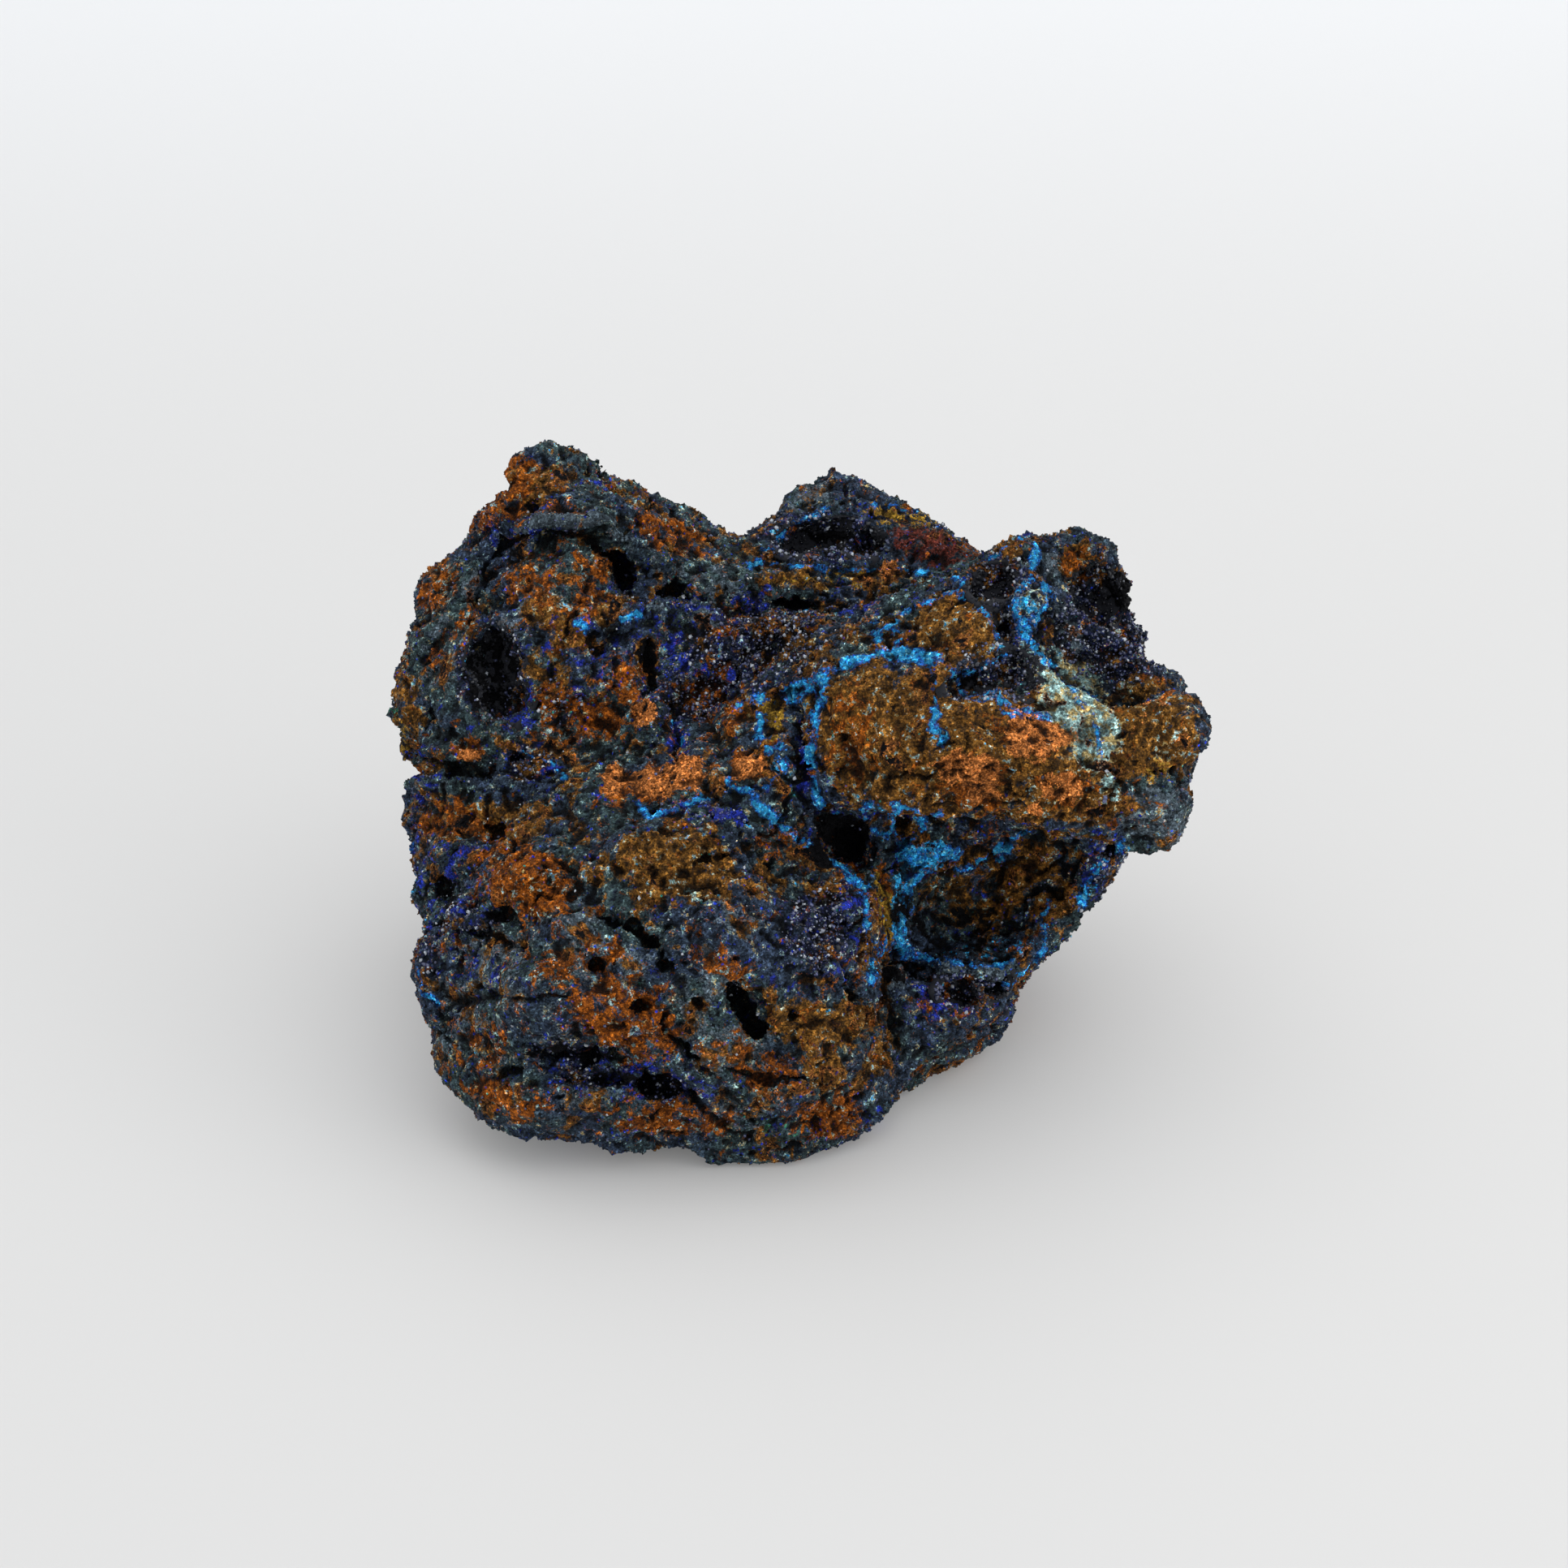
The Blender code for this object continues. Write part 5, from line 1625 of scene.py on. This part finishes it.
@dataclass
class Crust:
    """One hollow's druse: its crust with a thick growth of small crystals.

    Attributes:
        node: The crust's node.
        seed: Which of the many repeatable growths to give.
        painted_shade_share: How much darker than others its crystals are painted, as painted shade, from
            nought to one.
        density: Crystals to a square millimetre.
        back: How near the rock's solid the hidden back of the crust lies, in millimetres.
        margin: How far round the crust the rock's solid is searched, in millimetres.
        sheet_tone: The tone of the crust itself.
        strewing: How the crystals are strewn.
    """

    node: str
    seed: int
    painted_shade_share: float = 0.0
    density: float = 3.2
    back: float = 0.95
    margin: float = 3.0
    sheet_tone: float = 0.1
    strewing: Strewing = Strewing(crystal_shape(), 0.2, 0.52, 1.0)

    def build(self, samples: Array, finish: bpy.types.Material) -> None:
        """Grows the crystals on the crust's open side and shows the piece in place of the node.

        The deeper a crystal sits behind the front of the crust, the darker its tone, as painted shade.

        Args:
            samples: Points on the rock's solid, which the crust's back lies against.
            finish: The crystals' finish.
        """
        crust = Surface.of_node(self.node)
        points = crust.points
        low, high = points.min(axis=0) - self.margin, points.max(axis=0) + self.margin
        near = samples[((samples > low) & (samples < high)).all(axis=1)]
        inside = gap(points[crust.triangles].mean(axis=1), near) > self.back
        open_side = Surface(points, crust.triangles[inside])
        count = int(0.5 * open_side.areas().sum() * self.density)
        sown = self.strewing.sow(open_side, crust.normals(), np.ones(len(points)), count, self.seed)
        behind = SHEET.onto(sown.places)[:, 2]
        inner = rise(behind - behind.min(), 1.0, 5.0)
        # Painted shade: deeper crystals darken by up to three quarters, and a whole crust by its
        # painted-shade share.
        tone = sown.tone * (1.0 - 0.75 * sown.spread(inner)) * (1.0 - self.painted_shade_share)
        faces = np.vstack((crust.triangles, sown.faces + len(points)))
        mesh = mesh_of(self.node, np.vstack((points, sown.points)), faces)
        add_field(mesh, "tone", np.concatenate((np.full(len(points), self.sheet_tone), tone)))
        shown = piece(f"{self.node}_crystals", mesh, finish)
        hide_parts(self.node)


# ---------------------------------------------------------------- the studio


@dataclass(frozen=True)
class SoftBox:
    """A square soft light.

    Attributes:
        name: Its name.
        place: Where it hangs, in millimetres.
        aim: What it points at, in millimetres.
        size: Its side in millimetres.
        power: Its power in watts.
    """

    name: str
    place: tuple[float, float, float]
    aim: tuple[float, float, float]
    size: float
    power: float

    def hang(self) -> None:
        """Hangs the light."""
        light = bpy.data.lights.new(self.name, "AREA")
        light.size = self.size * MM
        light.energy = self.power
        lamp = in_scene(self.name, light)
        lamp.location = Vector(self.place) * MM
        lamp.rotation_euler = (Vector(self.aim) - Vector(self.place)).to_track_quat("-Z", "Y").to_euler()


SOFT_BOXES = (
    SoftBox("over", (120.0, 80.0, 620.0), (0.0, 0.0, 20.0), 1100.0, 1.9),
    SoftBox("front_left", (-520.0, -460.0, 240.0), (0.0, 0.0, 20.0), 420.0, 0.2),
    SoftBox("right", (600.0, -240.0, 210.0), (0.0, 0.0, 10.0), 420.0, 0.85),
)


@dataclass
class Studio:
    """The pale floor, the soft lights and the camera. Sizes are in millimetres."""

    floor_reach: float = 1500.0
    wall_distance: float = 900.0
    sweep: float = 500.0
    film_width: float = 36.0
    sky: tuple[float, float, float, float] = (0.93, 0.96, 1.0, 1.0)
    sky_strength: float = 0.91

    def build(self) -> None:
        """Lays the floor, hangs the lights and sets the camera."""
        self.lay_floor()
        for soft_box in SOFT_BOXES:
            soft_box.hang()
        world = bpy.data.worlds.new("Studio")
        world.use_nodes = True
        background = world.node_tree.nodes["Background"]
        background.inputs["Color"].default_value = self.sky
        background.inputs["Strength"].default_value = self.sky_strength
        bpy.context.scene.world = world
        bpy.context.scene.view_settings.view_transform = "Standard"
        self.set_camera()

    def lay_floor(self) -> None:
        """A floor that sweeps up into a wall: a profile of a flat run, a quarter turn and a rise."""
        turn = np.linspace(0.0, math.pi / 2, 24)
        swept = self.wall_distance + self.sweep * np.sin(turn)
        deep = np.concatenate(([-self.floor_reach], swept, [self.wall_distance + self.sweep]))
        high = np.concatenate(([0.0], self.sweep * (1.0 - np.cos(turn)), [self.floor_reach]))
        sides = np.array([-self.floor_reach, self.floor_reach])
        grid = np.stack(np.broadcast_arrays(sides[None, :], deep[:, None], high[:, None]), axis=-1)
        rows = np.arange(len(deep) - 1)[:, None] * 2
        mesh = mesh_of("studio_floor", grid.reshape(-1, 3), rows + np.array([0, 1, 3, 2]))
        mesh.shade_smooth()
        mesh.materials.append(FloorFinish().make())
        in_scene("studio_floor", mesh)

    def set_camera(self) -> None:
        """Sets the camera at the eye, square to the display sheet."""
        camera = bpy.data.cameras.new("display_camera")
        camera.sensor_width = self.film_width
        camera.lens = self.film_width * SHEET.eye_distance / SHEET.sheet_width
        camera.clip_start, camera.clip_end = 0.01, 20.0
        stand = in_scene("display_camera", camera)
        right, up, away = SHEET.axes()
        turn = Matrix((right, up, -away)).transposed().to_4x4()
        stand.matrix_world = Matrix.Translation(SHEET.eye()) @ turn
        bpy.context.scene.camera = stand


def crust_nodes() -> list[str]:
    """The names of the crusts' nodes, in order."""
    return sorted(set(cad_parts) - {ROCK_NODE})


def main() -> None:
    """Builds the studio and the specimen in order."""
    logging.basicConfig(level=logging.INFO, format="%(name)s: %(message)s")
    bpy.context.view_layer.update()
    Studio().build()
    rock = Rock()
    stone = StoneFinish().make()
    rock.build(stone)
    Crumbs(rock).build(stone)
    azurite = CrystalFinish().make()
    SkinCrystals(rock).build(azurite)
    samples = Surface.of_node(ROCK_NODE).samples()
    for number, name in enumerate(crust_nodes(), 1):
        Crust(name, CRUST_SEED + number, CRUST_PAINTED_SHADE.get(name, 0.0)).build(samples, azurite)


if __name__ == "__main__":
    main()
